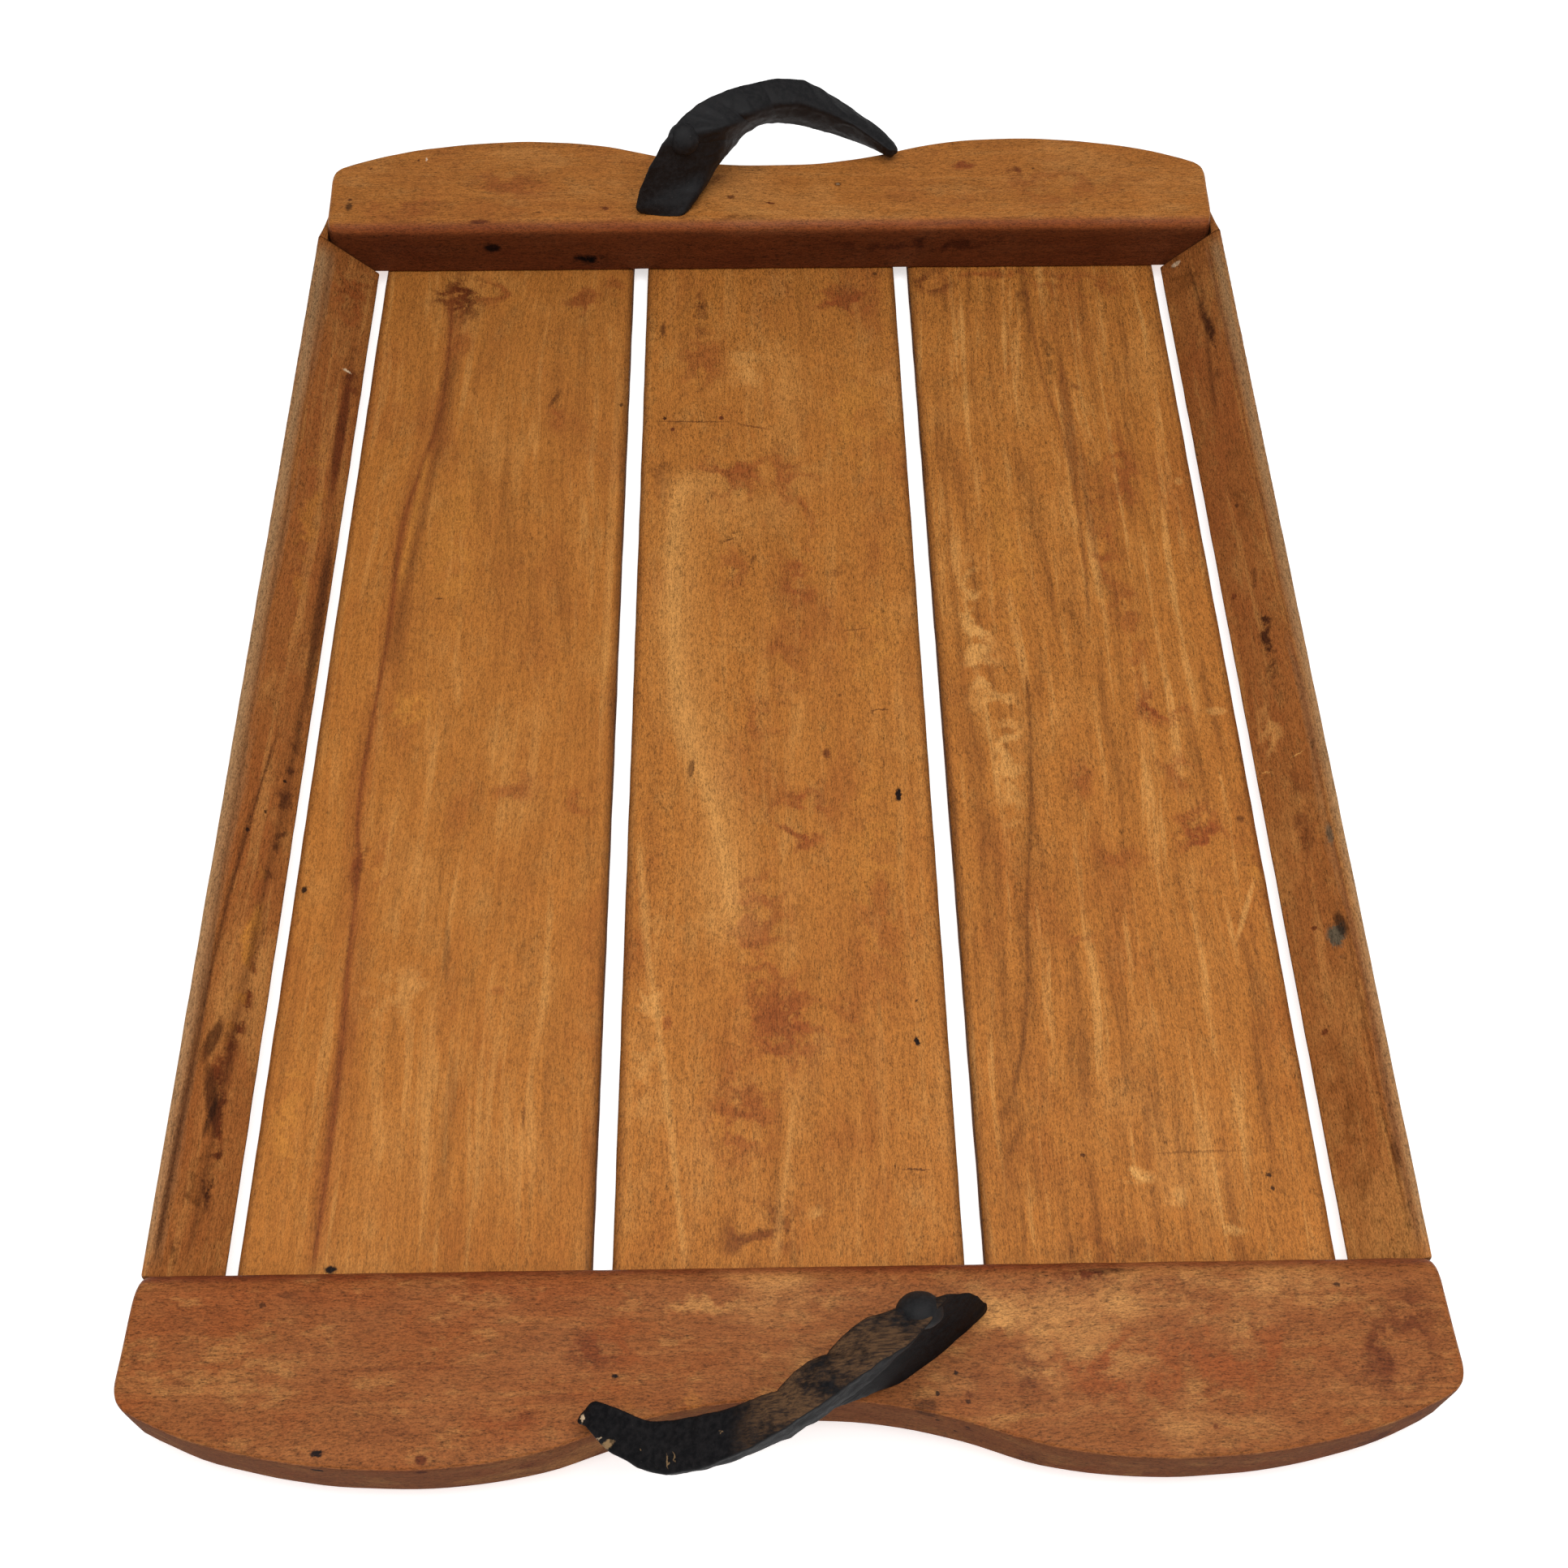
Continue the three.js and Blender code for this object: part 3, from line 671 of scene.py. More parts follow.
RIGHT_MARKS = (
    (62, 192, 10, 11, "rust", 0.5), (118, 190, 28, 12, "red", 0.35), (85, 196, 30, 5, "red", 0.35),
    (66, 20, 8, 48, "light", 0.42), (73, -22, 9, 50, "light", 0.36), (79, 55, 10, 60, "honey", 0.35),
    (107, 118, 2.8, 48, "rust", 0.4), (103, 152, 3, 22, "dark", 0.25),
    (110, 80, 2.2, 42, "rust", 0.3), (96, 185, 3, 20, "dark", 0.25), (123, 92, 10, 34, "red", 0.35),
    (113, 58, 7, 44, "red", 0.35), (119, 26, 6, 44, "red", 0.3), (99, 40, 4, 34, "brown", 0.25),
    (123, -11, 12, 10, "red", 0.55), (131, -60, 12, 17, "red", 0.55), (95, -38, 7, 14, "red", 0.35),
    (105, -66, 12, 8, "red", 0.3), (92, -96, 9, 3.2, "red", 0.35), (126, -36, 9, 14, "red", 0.35),
    (95.5, -169, 8, 4, "light", 0.65, -8), (118, -184, 9, 3.4, "light", 0.55, -6),
    (108, -176, 6, 4, "light", 0.3), (140, -86, 1.2, 15, "light", 0.45, -22),
    (145, -70, 3, 24, "honey", 0.4), (90, -190, 24, 7, "rust", 0.2),
    (133.5, -170, 0.9, 0.9, "black", 0.7), (134, -174, 0.9, 0.9, "black", 0.7),
    (82.5, -163.5, 0.9, 0.8, "dark", 0.7), (143.5, -53.5, 1.7, 1.7, "dark", 0.5),
    (142, -12, 4.5, 2.2, "light", 0.4), (143, 88, 2, 2.4, "light", 0.35), (64, -158, 6, 24, "brown", 0.3),
    (115, -163, 16, 0.5, "dark", 0.3, 1), (112, 137, 5, 4, "rust", 0.3),
)
RIGHT_VEINS = (
    (((8, 81), (-5, 81.5), (-35, 79.5), (-60, 77), (-80, 74.5), (-113, 71.5),
      (-150, 63)), 1.1, "dark", 0.6),
    (((8, 81), (-35, 79.5), (-80, 74.5), (-113, 71.5), (-150, 63)), 4.5, "brown", 0.3),
    (((195, 98), (150, 99), (100, 105), (60, 106), (20, 104)), 1.3, "rust", 0.5),
    (((150, 61), (60, 60), (-60, 62), (-190, 60)), 2, "brown", 0.35),
)

RAIL_LEFT_MARKS = (
    (5.8, 112, 2.8, 44, "rust", 0.75), (5.5, 140, 5, 18, "rust", 0.45),
    (7.2, 141.4, 2.3, 0.9, "bone", 0.8), (10, 180, 12, 26, "red", 0.45), (3, 30, 2.8, 50, "dark", 0.5),
    (5, -50, 3.5, 60, "dark", 0.45, 2), (8, -120, 4, 40, "rust", 0.55, 4),
    (8.5, -168, 3.6, 14, "dark", 0.7), (10, -150, 3.2, 22, "rust", 0.7, -8),
    (13, -146, 2.8, 12, "dark", 0.7, -14), (15.4, -130, 2.6, 10, "dark", 0.65, 16),
    (12.2, -152, 1.3, 9, "black", 0.5, 10), (15, -184, 3, 20, "dark", 0.4),
    (5.8, -38, 0.9, 1, "black", 0.75), (10.8, -51.5, 0.8, 0.9, "black", 0.7),
    (15.5, -60, 0.9, 1.1, "black", 0.75), (12, 60, 6, 60, "honey", 0.3),
    (9, -100, 3.4, 40, "honey", 0.45, 3), (13, -175, 4, 22, "brown", 0.4),
)
RAIL_LEFT_VEINS_AND_SHEEN = (
    # The first line is a painted sheen along the rounded top edge, not a vein.
    (((200, 24.4), (-200, 24.4)), 5, "tan", 0.75),
    (((200, 21), (-200, 21)), 1, "dark", 0.4),
    (((-20, 11), (-60, 15.5), (-92, 18.5), (-140, 20), (-198, 21)), 1.3, "dark", 0.8),
    (((60, 3), (0, 3.4), (-60, 6), (-120, 9), (-198, 12)), 1.8, "dark", 0.5),
)
RAIL_RIGHT_MARKS = (
    (15, 150, 3, 36, "dark", 0.55), (13, 14, 3, 38, "dark", 0.6), (10, 190, 10, 16, "brown", 0.5),
    (16, -101, 4.2, 9, "grey", 0.75), (18, -98, 2.4, 6, "black", 0.6, 10), (20.4, -68, 1.6, 5, "grey", 0.6),
    (4.5, 33, 1.4, 1.8, "rust", 0.7), (6.5, -129, 1.6, 1.4, "rust", 0.7),
    (9.5, -96, 1.4, 1, "rust", 0.7), (7.5, -24, 6, 14, "light", 0.25),
    (7, 195.5, 2.6, 1.6, "bone", 0.6), (8, -160, 7, 34, "brown", 0.35), (13, -60, 5, 40, "rust", 0.3),
    (14, 80, 5, 26, "brown", 0.4), (15.5, -36.5, 3, 0.45, "light", 0.6, 8),
    (4, -38, 2.5, 0.45, "light", 0.45, -20), (12, 69, 1, 1.2, "dark", 0.6), (20, -170, 1.3, 6, "dark", 0.5),
)
RAIL_RIGHT_VEINS_AND_SHEEN = (
    # The first line is a painted sheen along the rounded top edge, not a vein.
    (((200, 24.4), (-200, 24.4)), 5, "tan", 0.7),
    (((200, 21.2), (-200, 21.2)), 1.2, "rust", 0.5),
    (((196, 11), (160, 13.6), (130, 12), (110, 11)), 1.5, "dark", 0.6),
    (((-90, 20.5), (-130, 19), (-196, 19.5)), 0.9, "dark", 0.5),
)

FRONT_MARKS = (
    (-49, 223, 9, 6.5, "rust", 0.75), (-45, 221, 14, 10, "red", 0.4),
    (-70, 238, 8, 4.4, "rust", 0.65, -10), (-72, 240, 13, 8, "red", 0.35),
    (-115.8, 246, 2.1, 1.1, "black", 0.92), (-90.4, 248, 2.2, 1.6, "rust", 0.8),
    (-44, 228.5, 1.1, 0.8, "black", 0.8), (-98, 213, 9, 6, "red", 0.35), (-128, 207, 4, 1, "dark", 0.4),
    (-134, 209.5, 1.2, 0.9, "dark", 0.7), (76, 205, 11, 3, "rust", 0.7),
    (82, 203, 8, 1.6, "black", 0.4), (52, 215, 11, 8, "light", 0.3), (60, 230, 7, 13, "rust", 0.35),
    (46, 232, 5, 7, "rust", 0.5), (80, 228, 24, 17, "red", 0.5), (112, 226, 30, 18, "red", 0.45),
    (150, 226, 20, 16, "rust", 0.4), (158, 215, 9, 10, "rust", 0.4), (33, 237, 4, 2.2, "dark", 0.5),
    (36, 234, 0.8, 0.8, "black", 0.7), (41, 229, 0.9, 0.7, "black", 0.7), (43.5, 236, 1, 0.8, "black", 0.6),
    (104, 243, 0.9, 0.9, "rust", 0.6), (-22, 211, 16, 4, "light", 0.25),
    (-100, 226, 26, 0.5, "rust", 0.35, -1), (-130, 236, 20, 10, "red", 0.25),
    (-30, 236, 14, 6, "honey", 0.2), (-75, 206, 14, 3.4, "red", 0.3), (140, 208, 1.2, 0.8, "black", 0.6),
)
FRONT_SCUFFS = (
    (-51, -240.2, 0.6, 1.2, "bone", 0.95), (-44.5, -247.5, 2, 1.3, "tan", 0.8, 20),
    (-46.5, -245.8, 0.9, 0.5, "bone", 0.6), (-29.5, -253.4, 0.3, 2, "tan", 0.6, 10),
    (-28, -252.6, 0.3, 1.5, "tan", 0.5, 14), (-17, -249, 0.5, 0.4, "tan", 0.5),
    (-36, -250, 0.4, 0.4, "tan", 0.5),
)
BACK_MARKS = (
    (-160, 212, 1.8, 3, "black", 0.6), (-160, 216, 1.2, 1, "dark", 0.7),
    (-133, 239.4, 0.5, 1.5, "bone", 0.9), (-136, 239, 0.8, 0.8, "dark", 0.7),
    (-62.6, 210, 1.6, 1.4, "rust", 0.7), (-110, 203, 5, 1.6, "rust", 0.7),
    (26, 223, 1.8, 1.5, "dark", 0.6), (26, 223.2, 0.9, 0.7, "tan", 0.7),
    (0, 212.4, 2.4, 0.7, "rust", 0.8, -8), (-15, 216, 2, 1.6, "rust", 0.6),
    (-13, 219, 1.2, 0.9, "rust", 0.5), (43, 241, 3.4, 1.8, "rust", 0.75, -20),
    (74, 234, 7, 4.5, "red", 0.6), (94, 229.6, 6, 3.2, "rust", 0.45), (134, 234, 7, 4.5, "red", 0.5),
    (110, 222, 40, 12, "red", 0.25), (-154, 234, 1, 0.8, "dark", 0.6), (102, 231.5, 0.7, 0.7, "black", 0.6),
    (-100, 225, 22, 12, "red", 0.3), (-140, 212, 20, 10, "red", 0.3), (-20, 204, 30, 3.2, "brown", 0.3),
    (-106, 190, 4.5, 2.6, "black", 0.75), (-70, 184, 9, 4, "black", 0.55),
    (60, 190, 60, 5, "rust", 0.35), (-19, 226, 3.4, 5, "brown", 0.4, 30),
    (-88, 208, 1.4, 0.8, "dark", 0.5),
)


# ---- wooden pieces

def worn_stations(low, high, arris, steps):
    """Places along Y from low to high, each with how far the section draws in at the worn ends."""
    stations = [(low, arris), (low + 0.3 * arris, 0.3 * arris)]
    stations += [(low + arris + (high - low - 2 * arris) * k / steps, 0) for k in range(steps + 1)]
    return stations + [(high - 0.3 * arris, 0.3 * arris), (high, arris)]


def shape_slat(name, material):
    low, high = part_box(name)
    corners = [(low.x, low.z), (high.x, low.z), (high.x, high.z), (low.x, high.z)]
    section = rounded(corners, [SLAT_ARRIS] * 4, 5, 5 * MM)
    steps = int((high.y - low.y) / (4 * MM))
    rings = []
    for y, pull in worn_stations(low.y, high.y, PLANK_END_ARRIS, steps):
        outline = inset(section, pull) if pull else section
        ring = [Vector((q.x, y, q.y)) for q in outline]
        rings.append([p + wear(p, PLANK_WEAR) for p in ring])
    vertices, faces = skin(rings)
    slat = make_piece(name, "_wood", vertices, faces, material)
    cut_screw_holes(slat, name)


def cut_screw_holes(piece, name):
    """Opens the piece round each slat screw that passes through it, with a wider mouth for its head."""
    low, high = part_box(name)
    cutter_mesh = bpy.data.meshes.new("cutter")
    work = bmesh.new()
    for screw in (n for n in nodes if n.startswith("slat_screw")):
        screw_low, screw_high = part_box(screw)
        middle = (screw_low + screw_high) / 2
        if not (low.x < middle.x < high.x):
            continue
        for radius, height in (SCREW_MOUTH, SCREW_HOLE):
            place = Matrix.Translation((middle.x, middle.y, height / 2 - CUTTER_START))
            bmesh.ops.create_cone(
                work, cap_ends=True, segments=32, radius1=radius, radius2=radius,
                depth=height, matrix=place,
            )
    work.to_mesh(cutter_mesh)
    work.free()
    cutter = bpy.data.objects.new("cutter", cutter_mesh)
    bpy.context.scene.collection.objects.link(cutter)
    cut = piece.modifiers.new("cut", "BOOLEAN")
    cut.object = cutter
    cut.solver = "EXACT"
    cut.use_self = True
    apply_modifiers(piece)
    bpy.data.objects.remove(cutter)


def apply_modifiers(piece):
    graph = bpy.context.evaluated_depsgraph_get()
    mesh = bpy.data.meshes.new_from_object(piece.evaluated_get(graph))
    piece.modifiers.clear()
    piece.data = mesh


def rail_place(along, across):
    """A point of the right-hand rail's section: along its slope from its lower inner edge, and across
    its thickness."""
    return (
        RAIL_FOOT + along * math.cos(RAIL_LEAN) + across * math.sin(RAIL_LEAN),
        SLAT_TOP + along * math.sin(RAIL_LEAN) - across * math.cos(RAIL_LEAN),
    )


def rail_section(reach, start=None):
    """The right-hand rail's outline in X and Z, out to x = reach. The part inside x = start is cut off."""
    top = (reach - RAIL_FOOT) / math.cos(RAIL_LEAN)
    base = (reach - RAIL_FOOT - RAIL_THICKNESS * math.sin(RAIL_LEAN)) / math.cos(RAIL_LEAN)
    corners = [
        rail_place(0, 0), rail_place(0, RAIL_THICKNESS),
        rail_place(base, RAIL_THICKNESS), rail_place(top, 0),
    ]
    radii = [RAIL_FOOT_ARRIS, RAIL_FOOT_ARRIS, RAIL_OUTER_ARRIS, RAIL_TOP_ROUND]
    section = rounded(corners, radii, 7, 2.4 * MM)
    if start is None:
        return section
    rise = math.tan(RAIL_LEAN)
    upper = SLAT_TOP + (start - RAIL_FOOT) * rise
    lower = upper - RAIL_THICKNESS / math.cos(RAIL_LEAN)
    cut = []
    for q in section:
        if q.x >= start:
            cut.append(q)
            continue
        middle = SLAT_TOP + (q.x - RAIL_FOOT) * rise - RAIL_THICKNESS / 2 / math.cos(RAIL_LEAN)
        cut.append(Vector((start, upper if q.y > middle else lower)))
    return cut


def shape_rail(name, side, material):
    """A rail that flares a little toward the back, where a thin tongue runs on beside the end board."""
    low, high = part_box(name)
    end = -low.y
    tongue = high.y - end
    rings = []
    for y, pull in worn_stations(-end, end, RAIL_END_ARRIS, 100):
        section = rail_section(BOARD_HALF + RAIL_FLARE * (y + end) / (2 * end))
        if pull:
            section = inset(section, pull)
        rings.append([(q, y) for q in section])
    board_side = BOARD_HALF - BOARD_TAPER + JOINT_GAP
    step = 0.02 * MM
    tongue_steps = 8
    for k in range(tongue_steps + 1):
        share = k / tongue_steps
        start = board_side + BOARD_TAPER * share * tongue / BOARD_STRAIGHT
        tip = start + RAIL_TONGUE_TIP - BOARD_HALF
        reach = BOARD_HALF + RAIL_FLARE * (1 - share) + tip * share
        y = end + step + (tongue - step) * share
        rings.append([(q, y) for q in rail_section(reach, start)])
    placed = []
    for ring in rings:
        points = [Vector((side * q.x, y, q.y)) for q, y in ring]
        if side < 0:
            points.reverse()
        placed.append([p + wear(p, PLANK_WEAR) for p in points])
    vertices, faces = skin(placed)
    make_piece(name, "_wood", vertices, faces, material)


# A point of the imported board's top belongs to its outer edge from this depth, less near the sides.
WAVE_DEPTH = 34 * MM
SIDE_DEPTH = 27 * MM
SIDE_FROM = 160 * MM


def board_outline(name):
    """The end board's outer edge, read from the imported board: pairs of |x| and depth from the inner
    face. The corners of the inner face are left out."""
    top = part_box(name)[1].z
    far = {}
    for vertex in nodes[name].data.vertices:
        p = vertex.co
        if p.z > top - 0.1 * MM and p.x >= 0:
            depth = abs(p.y) - INNER_FACE
            key = round(p.x, 5)
            far[key] = max(depth, far.get(key, 0))
    return [
        (x, depth) for x, depth in sorted(far.items())
        if depth > WAVE_DEPTH or x > SIDE_FROM and depth > SIDE_DEPTH
    ]


def depth_at(outline, x):
    """Depth of the outer edge at |x|, between the outline's points."""
    x = abs(x)
    for (x0, d0), (x1, d1) in zip(outline, outline[1:]):
        if x0 <= x <= x1 and x1 > x0:
            return d0 + (d1 - d0) * (x - x0) / (x1 - x0)
    return outline[-1][1]


def shape_board(end, side, material):
    """An end board as a row of rounded sections, side by side along X."""
    name = "end_board_" + end
    outline = board_outline(name)
    inner = BOARD_HALF - BOARD_CORNER * 1.3
    near_end = [BOARD_HALF - BOARD_CORNER * 1.3 * (1 - k / 10) ** 2 for k in range(11)]
    count = 84
    middle = [-inner + 2 * inner * k / count for k in range(1, count)]
    rings = []
    for x in [-x for x in reversed(near_end)] + middle + near_end:
        left = BOARD_HALF - abs(x)
        recede = corner_drop(BOARD_CORNER, left)
        shrink = corner_drop(BOARD_END_ROUND, left)
        depth = depth_at(outline, x) - 0.6 * shrink
        low, high = BOARD_LOW + shrink, BOARD_TOP - shrink
        corners = [(-depth, low), (-recede, low), (-recede, high), (-depth, high)]
        radii = [BOARD_LOWER_ARRIS, BOARD_INNER_FOOT, BOARD_INNER_ROUND, BOARD_ARRIS]
        ring = []
        for q in fill_sides(rounded(corners, radii, 7)):
            taper = BOARD_TAPER * max(0, 1 + q.x / BOARD_STRAIGHT)
            p = Vector((x * (1 - taper / BOARD_HALF), q.x - INNER_FACE, q.y))
            p += wear(p, BOARD_WEAR)
            ring.append(Vector((side * p.x, side * p.y, p.z)))
        rings.append(ring)
    vertices, faces = skin(rings)
    make_piece(name, "_wood", vertices, faces, material)


def corner_drop(radius, distance):
    """How far a round of this radius falls back at a distance from the face it runs into."""
    if distance >= radius:
        return 0.0
    return radius - math.sqrt(max(0.0, radius ** 2 - (radius - distance) ** 2))


def fill_sides(points):
    """Puts fixed counts of points on the four long sides that rounded() leaves bare."""
    group = len(points) // 4
    filled = []
    for i, parts in enumerate((8, 5, 8, 5)):
        filled += points[i * group:(i + 1) * group]
        a = points[(i + 1) * group - 1]
        b = points[((i + 1) * group) % len(points)]
        filled += [a.lerp(b, k / parts) for k in range(1, parts)]
    return filled


# ---- iron pieces

# Lengths here are in mm. The handle in its own frame: x to the right, y inward from the board's inner
# edge, z above the board. Each row has a crest, an inner edge and a back edge, from the foot's nose
# to the tip.
# HANDLE_ENDS has each handle's half turn, small turn, and place along x and y.
HANDLE_ROWS = (
    ((49.8, -14.5, 0), (31, -11.5, 0), (23, -34.5, 0)),
    ((51.4, -13.2, 3), (27, -14.5, 4.5), (18, -37, 2.5)),
    ((50, -13.4, 10), (22, -21.5, 10.5), (14, -39.3, 5.5)),
    ((47.2, -14, 17), (18.5, -24, 14.5), (11, -41, 7.5)),
    ((44, -15.5, 23), (16.5, -25, 19), (8.5, -42.2, 9)),
    ((38.5, -19, 29.5), (15.5, -24.5, 28), (5.5, -44, 10)),
    ((30.5, -29, 32.2), (12, -27, 28.5), (3.5, -45.5, 10.5)),
    ((20.5, -36, 34.8), (8, -30, 28.3), (0.5, -47, 11)),
    ((8.5, -44, 34), (1, -35, 28), (-3, -48.8, 10.5)),
    ((-2.6, -50.2, 31.5), (-7, -40, 26.5), (-9, -50.2, 9)),
    ((-17, -55.8, 26), (-17, -42.3, 24), (-18, -51.5, 5.5)),
    ((-31, -56.2, 16), (-32.5, -42.6, 16), (-32, -50.7, 1.2)),
    ((-43, -50, 10), (-43, -38, 10.5), (-43, -45, 0.4)),
    ((-49.3, -43.5, 7.5), (-48, -36.2, 7.5), (-49, -40, 0.4)),
    ((-51.2, -41.4, 5.6), (-50.4, -38, 5.6), (-50.8, -40, 1.6)),
)
HANDLE_ENDS = {"front": (0.0, 0.0, 0.0, 0.0), "back": (math.pi, math.radians(2.9), 0.4, 5.2)}
HANDLE_RINGS = 330
# Softness of the section's corners (crest, inner, back), and how full its sides are.
HANDLE_SOFTNESS = (0.26, 0.42, 0.5)
HANDLE_FULLNESS = 0.5
# The rows between which the hammer has drawn the handle out, and the scallops that it left there.
DRAWN_FROM = 3.5
DRAWN_ROWS = 7
SCALLOP_LENGTH = 14.5
SCALLOP_DEPTH = 2.1
CREST_WAVE = 0.7
# The round over the tip: shares of the last section and of TIP_REACH.
TIP_ROUND = ((0.9, 0.25), (0.7, 0.6), (0.4, 0.9), (0.12, 1.0))
TIP_REACH = 1.6
RIVET_SEAT = Vector((30.5, -22.4, 26.4))
RIVET_AXIS = Vector((0, 0.8, 0.6))
RIVET_RADIUS = 5.8
RIVET_HEIGHT = 5.0
RIVET_RINGS = 24
RIVET_SPOKES = 64


def spline(points, t):
    """A point of the smooth curve through points, for t from 0 to len(points) - 1."""
    i = min(int(t), len(points) - 2)
    t -= i
    a = points[max(i - 1, 0)]
    b = points[i]
    c = points[i + 1]
    d = points[min(i + 2, len(points) - 1)]
    square = 2 * a - 5 * b + 4 * c - d
    cube = 3 * b - a - 3 * c + d
    return 0.5 * (2 * b + (c - a) * t + square * t * t + cube * t ** 3)


def handle_frame(end):
    """From a handle's own frame in mm to the world in metres."""
    half, turn, x, y = HANDLE_ENDS[end]
    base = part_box("handle_" + end)[0].z / MM
    place = Matrix.Rotation(half, 4, "Z") @ Matrix.Translation((x, y - INNER_FACE / MM, base))
    return Matrix.Scale(MM, 4) @ place @ Matrix.Rotation(turn, 4, "Z")


def handle_ring(crest, inner, back, steps=12):
    """A rounded triangle, with its crest kept fairly sharp and its sides slightly full."""
    corners = (crest, inner, back)
    centre = (crest + inner + back) / 3
    ring = []
    for i in range(3):
        corner, before, after = corners[i], corners[i - 1], corners[(i + 1) % 3]
        start = corner.lerp(before, HANDLE_SOFTNESS[i] / 2)
        stop = corner.lerp(after, HANDLE_SOFTNESS[i] / 2)
        for k in range(steps):
            t = k / (steps - 1)
            ring.append((1 - t) ** 2 * start + 2 * t * (1 - t) * corner + t * t * stop)
        following = after.lerp(corner, HANDLE_SOFTNESS[(i + 1) % 3] / 2)
        for k in range(1, steps):
            t = k / steps
            p = stop.lerp(following, t)
            ring.append(p + (p - centre).normalized() * HANDLE_FULLNESS * math.sin(math.pi * t))
    return ring


def shape_handle(end, material):
    """A forged handle: a smooth taper, drawn out by hammer blows that leave scallops on its inner edge."""
    edges = [[Vector(row[k]) for row in HANDLE_ROWS] for k in range(3)]
    rings = []
    length = 0.0
    last = None
    for i in range(HANDLE_RINGS + 1):
        t = (len(HANDLE_ROWS) - 1) * i / HANDLE_RINGS
        crest, inner, back = (spline(edge, t) for edge in edges)
        if last is not None:
            length += (inner - last).length
        last = inner
        middle = (crest + inner + back) / 3
        drawn = min(1.0, max(0.0, (t - DRAWN_FROM) / DRAWN_ROWS))
        grip = max(0.0, math.sin(math.pi * drawn))
        scallop = abs(math.sin(math.pi * (length - 4) / SCALLOP_LENGTH)) ** 0.7 - 0.6
        inner = inner + (inner - middle).normalized() * SCALLOP_DEPTH * grip * scallop
        wave = grip * math.sin(length / 5.3)
        crest = crest + (crest - middle).normalized() * CREST_WAVE * wave
        rings.append(handle_ring(crest, inner, back))
    last_ring = rings[-1]
    middle = sum(last_ring, Vector()) / len(last_ring)
    onward = (middle - sum(rings[-5], Vector()) / len(last_ring)).normalized()
    for share, reach in TIP_ROUND:
        rings.append([middle + (p - middle) * share + onward * TIP_REACH * reach for p in last_ring])
    place = handle_frame(end)
    vertices, faces = skin([[place @ p for p in ring] for ring in rings])
    forge("handle_" + end, vertices, faces, material, 0.32 * MM, 0.07 * MM)


def shape_rivet(end, material):
    """A domed rivet head that draws in again below its widest ring, where it sinks into the handle."""
    turn = Vector((0, 0, 1)).rotation_difference(RIVET_AXIS).to_matrix().to_4x4()
    place = handle_frame(end) @ Matrix.Translation(RIVET_SEAT) @ turn
    spokes = [2 * math.pi * n / RIVET_SPOKES for n in range(RIVET_SPOKES)]
    rings = []
    for k in range(RIVET_RINGS + 1):
        angle = math.radians(-30 + 119.5 * k / RIVET_RINGS)
        out = RIVET_RADIUS * math.cos(angle if angle > 0 else 1.8 * angle) ** 0.85
        up = RIVET_HEIGHT * math.sin(angle)
        rings.append([place @ Vector((out * math.cos(a), out * math.sin(a), up)) for a in spokes])
    vertices, faces = skin(rings)
    forge("rivet_" + end, vertices, faces, material, 0.16 * MM, 0.05 * MM)


def forge(name, vertices, faces, material, blows, texture):
    """Makes an iron piece in place of the CAD node, dented by the hammer and rough from the fire."""
    piece = make_piece(name, "_iron", vertices, faces, material, 50)
    mesh = piece.data
    normals = [v.normal.copy() for v in mesh.vertices]
    for vertex, normal in zip(mesh.vertices, normals):
        p = vertex.co
        rough = noise.noise(p / (2.6 * MM)) + 0.5 * noise.noise(p / (1.1 * MM))
        vertex.co = p + normal * (hammer(p, blows) + texture * rough)


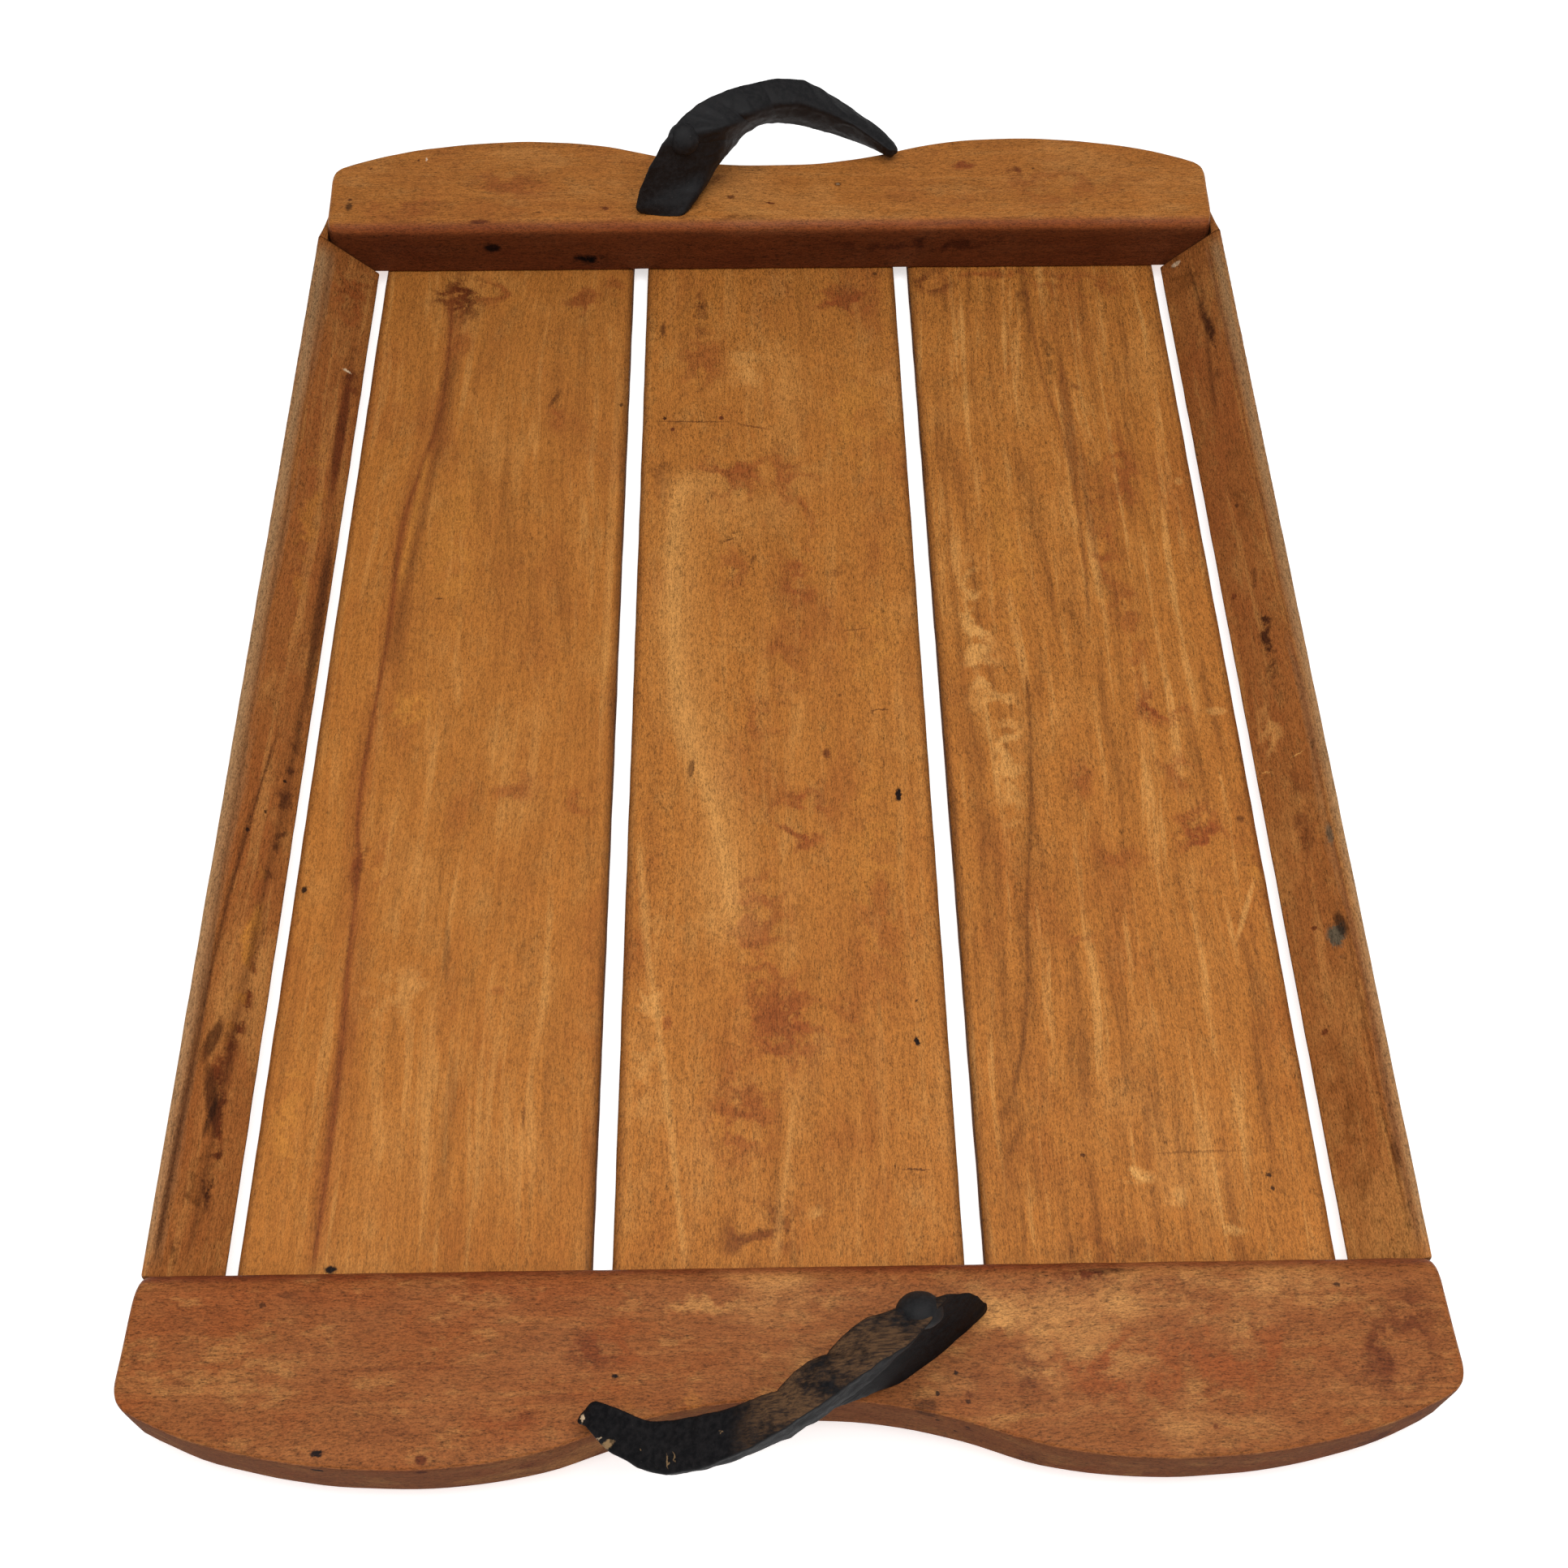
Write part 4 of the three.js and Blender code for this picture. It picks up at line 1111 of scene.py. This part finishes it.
def hammer(p, depth):
    """Flat-bottomed hammer marks: cells with raised edges between them."""
    cell = p / (9 * MM) + noise.noise_vector(p / (14 * MM)) * 0.5
    distances = noise.voronoi(cell)[0]
    edge = distances[1] - distances[0]
    return depth * (0.5 - min(edge * 2.2, 1.0))


# ---- assembling

add_camera()
add_stage()

slat_looks = (
    wood("left_slat", 1, slat_flat, marks=LEFT_MARKS, veins=LEFT_VEINS, edges=(-148, -53),
         stripes=0.35, blotches=0.4, flecks=0.8),
    wood("middle_slat", 2, slat_flat, marks=MIDDLE_MARKS, veins=MIDDLE_VEINS, edges=(-47.5, 47.5),
         stripes=0.2, blotches=0.5),
    wood("right_slat", 3, slat_flat, marks=RIGHT_MARKS, veins=RIGHT_VEINS, edges=(53, 148),
         stripes=0.6, blotches=0.4),
)
for slat, look in zip(SLATS, slat_looks):
    shape_slat(slat, look)

rail_looks = (
    wood("left_rail", 4, rail_flat, base="rail", marks=RAIL_LEFT_MARKS, veins=RAIL_LEFT_VEINS_AND_SHEEN,
         stripes=0.3, blotches=0.5),
    wood("right_rail", 5, rail_flat, base="rail", marks=RAIL_RIGHT_MARKS, veins=RAIL_RIGHT_VEINS_AND_SHEEN,
         stripes=0.3, blotches=0.5),
)
for rail, rail_side, look in zip(RAILS, (-1, 1), rail_looks):
    shape_rail(rail, rail_side, look)

board_looks = (
    wood("front_board", 6, board_flat, along_x=True, base="board", marks=FRONT_MARKS,
         stripes=0.15, blotches=0.8, flecks=1.1, tint=(0.95, 0.94, 0.98)),
    wood("back_board", 7, board_flat, along_x=True, marks=BACK_MARKS,
         stripes=0.15, blotches=0.5, flecks=0.8, tint=(1.08, 1.08, 1.2)),
)
# The back handle has no brown wear: its stretch for it lies beyond the tray.
worn_iron = iron("front_iron", 1, -16, 40, 0.08, FRONT_SCUFFS)
black_iron = iron("back_iron", 2, 500, 600, 0.3)
for end, end_side, look, metal in zip(ENDS, (1, -1), board_looks, (worn_iron, black_iron)):
    shape_board(end, end_side, look)
    shape_handle(end, metal)
    shape_rivet(end, black_iron)

fastener = steel()
for name, node in nodes.items():
    if "screw" in name or "pin" in name:
        node.data.materials.clear()
        node.data.materials.append(fastener)
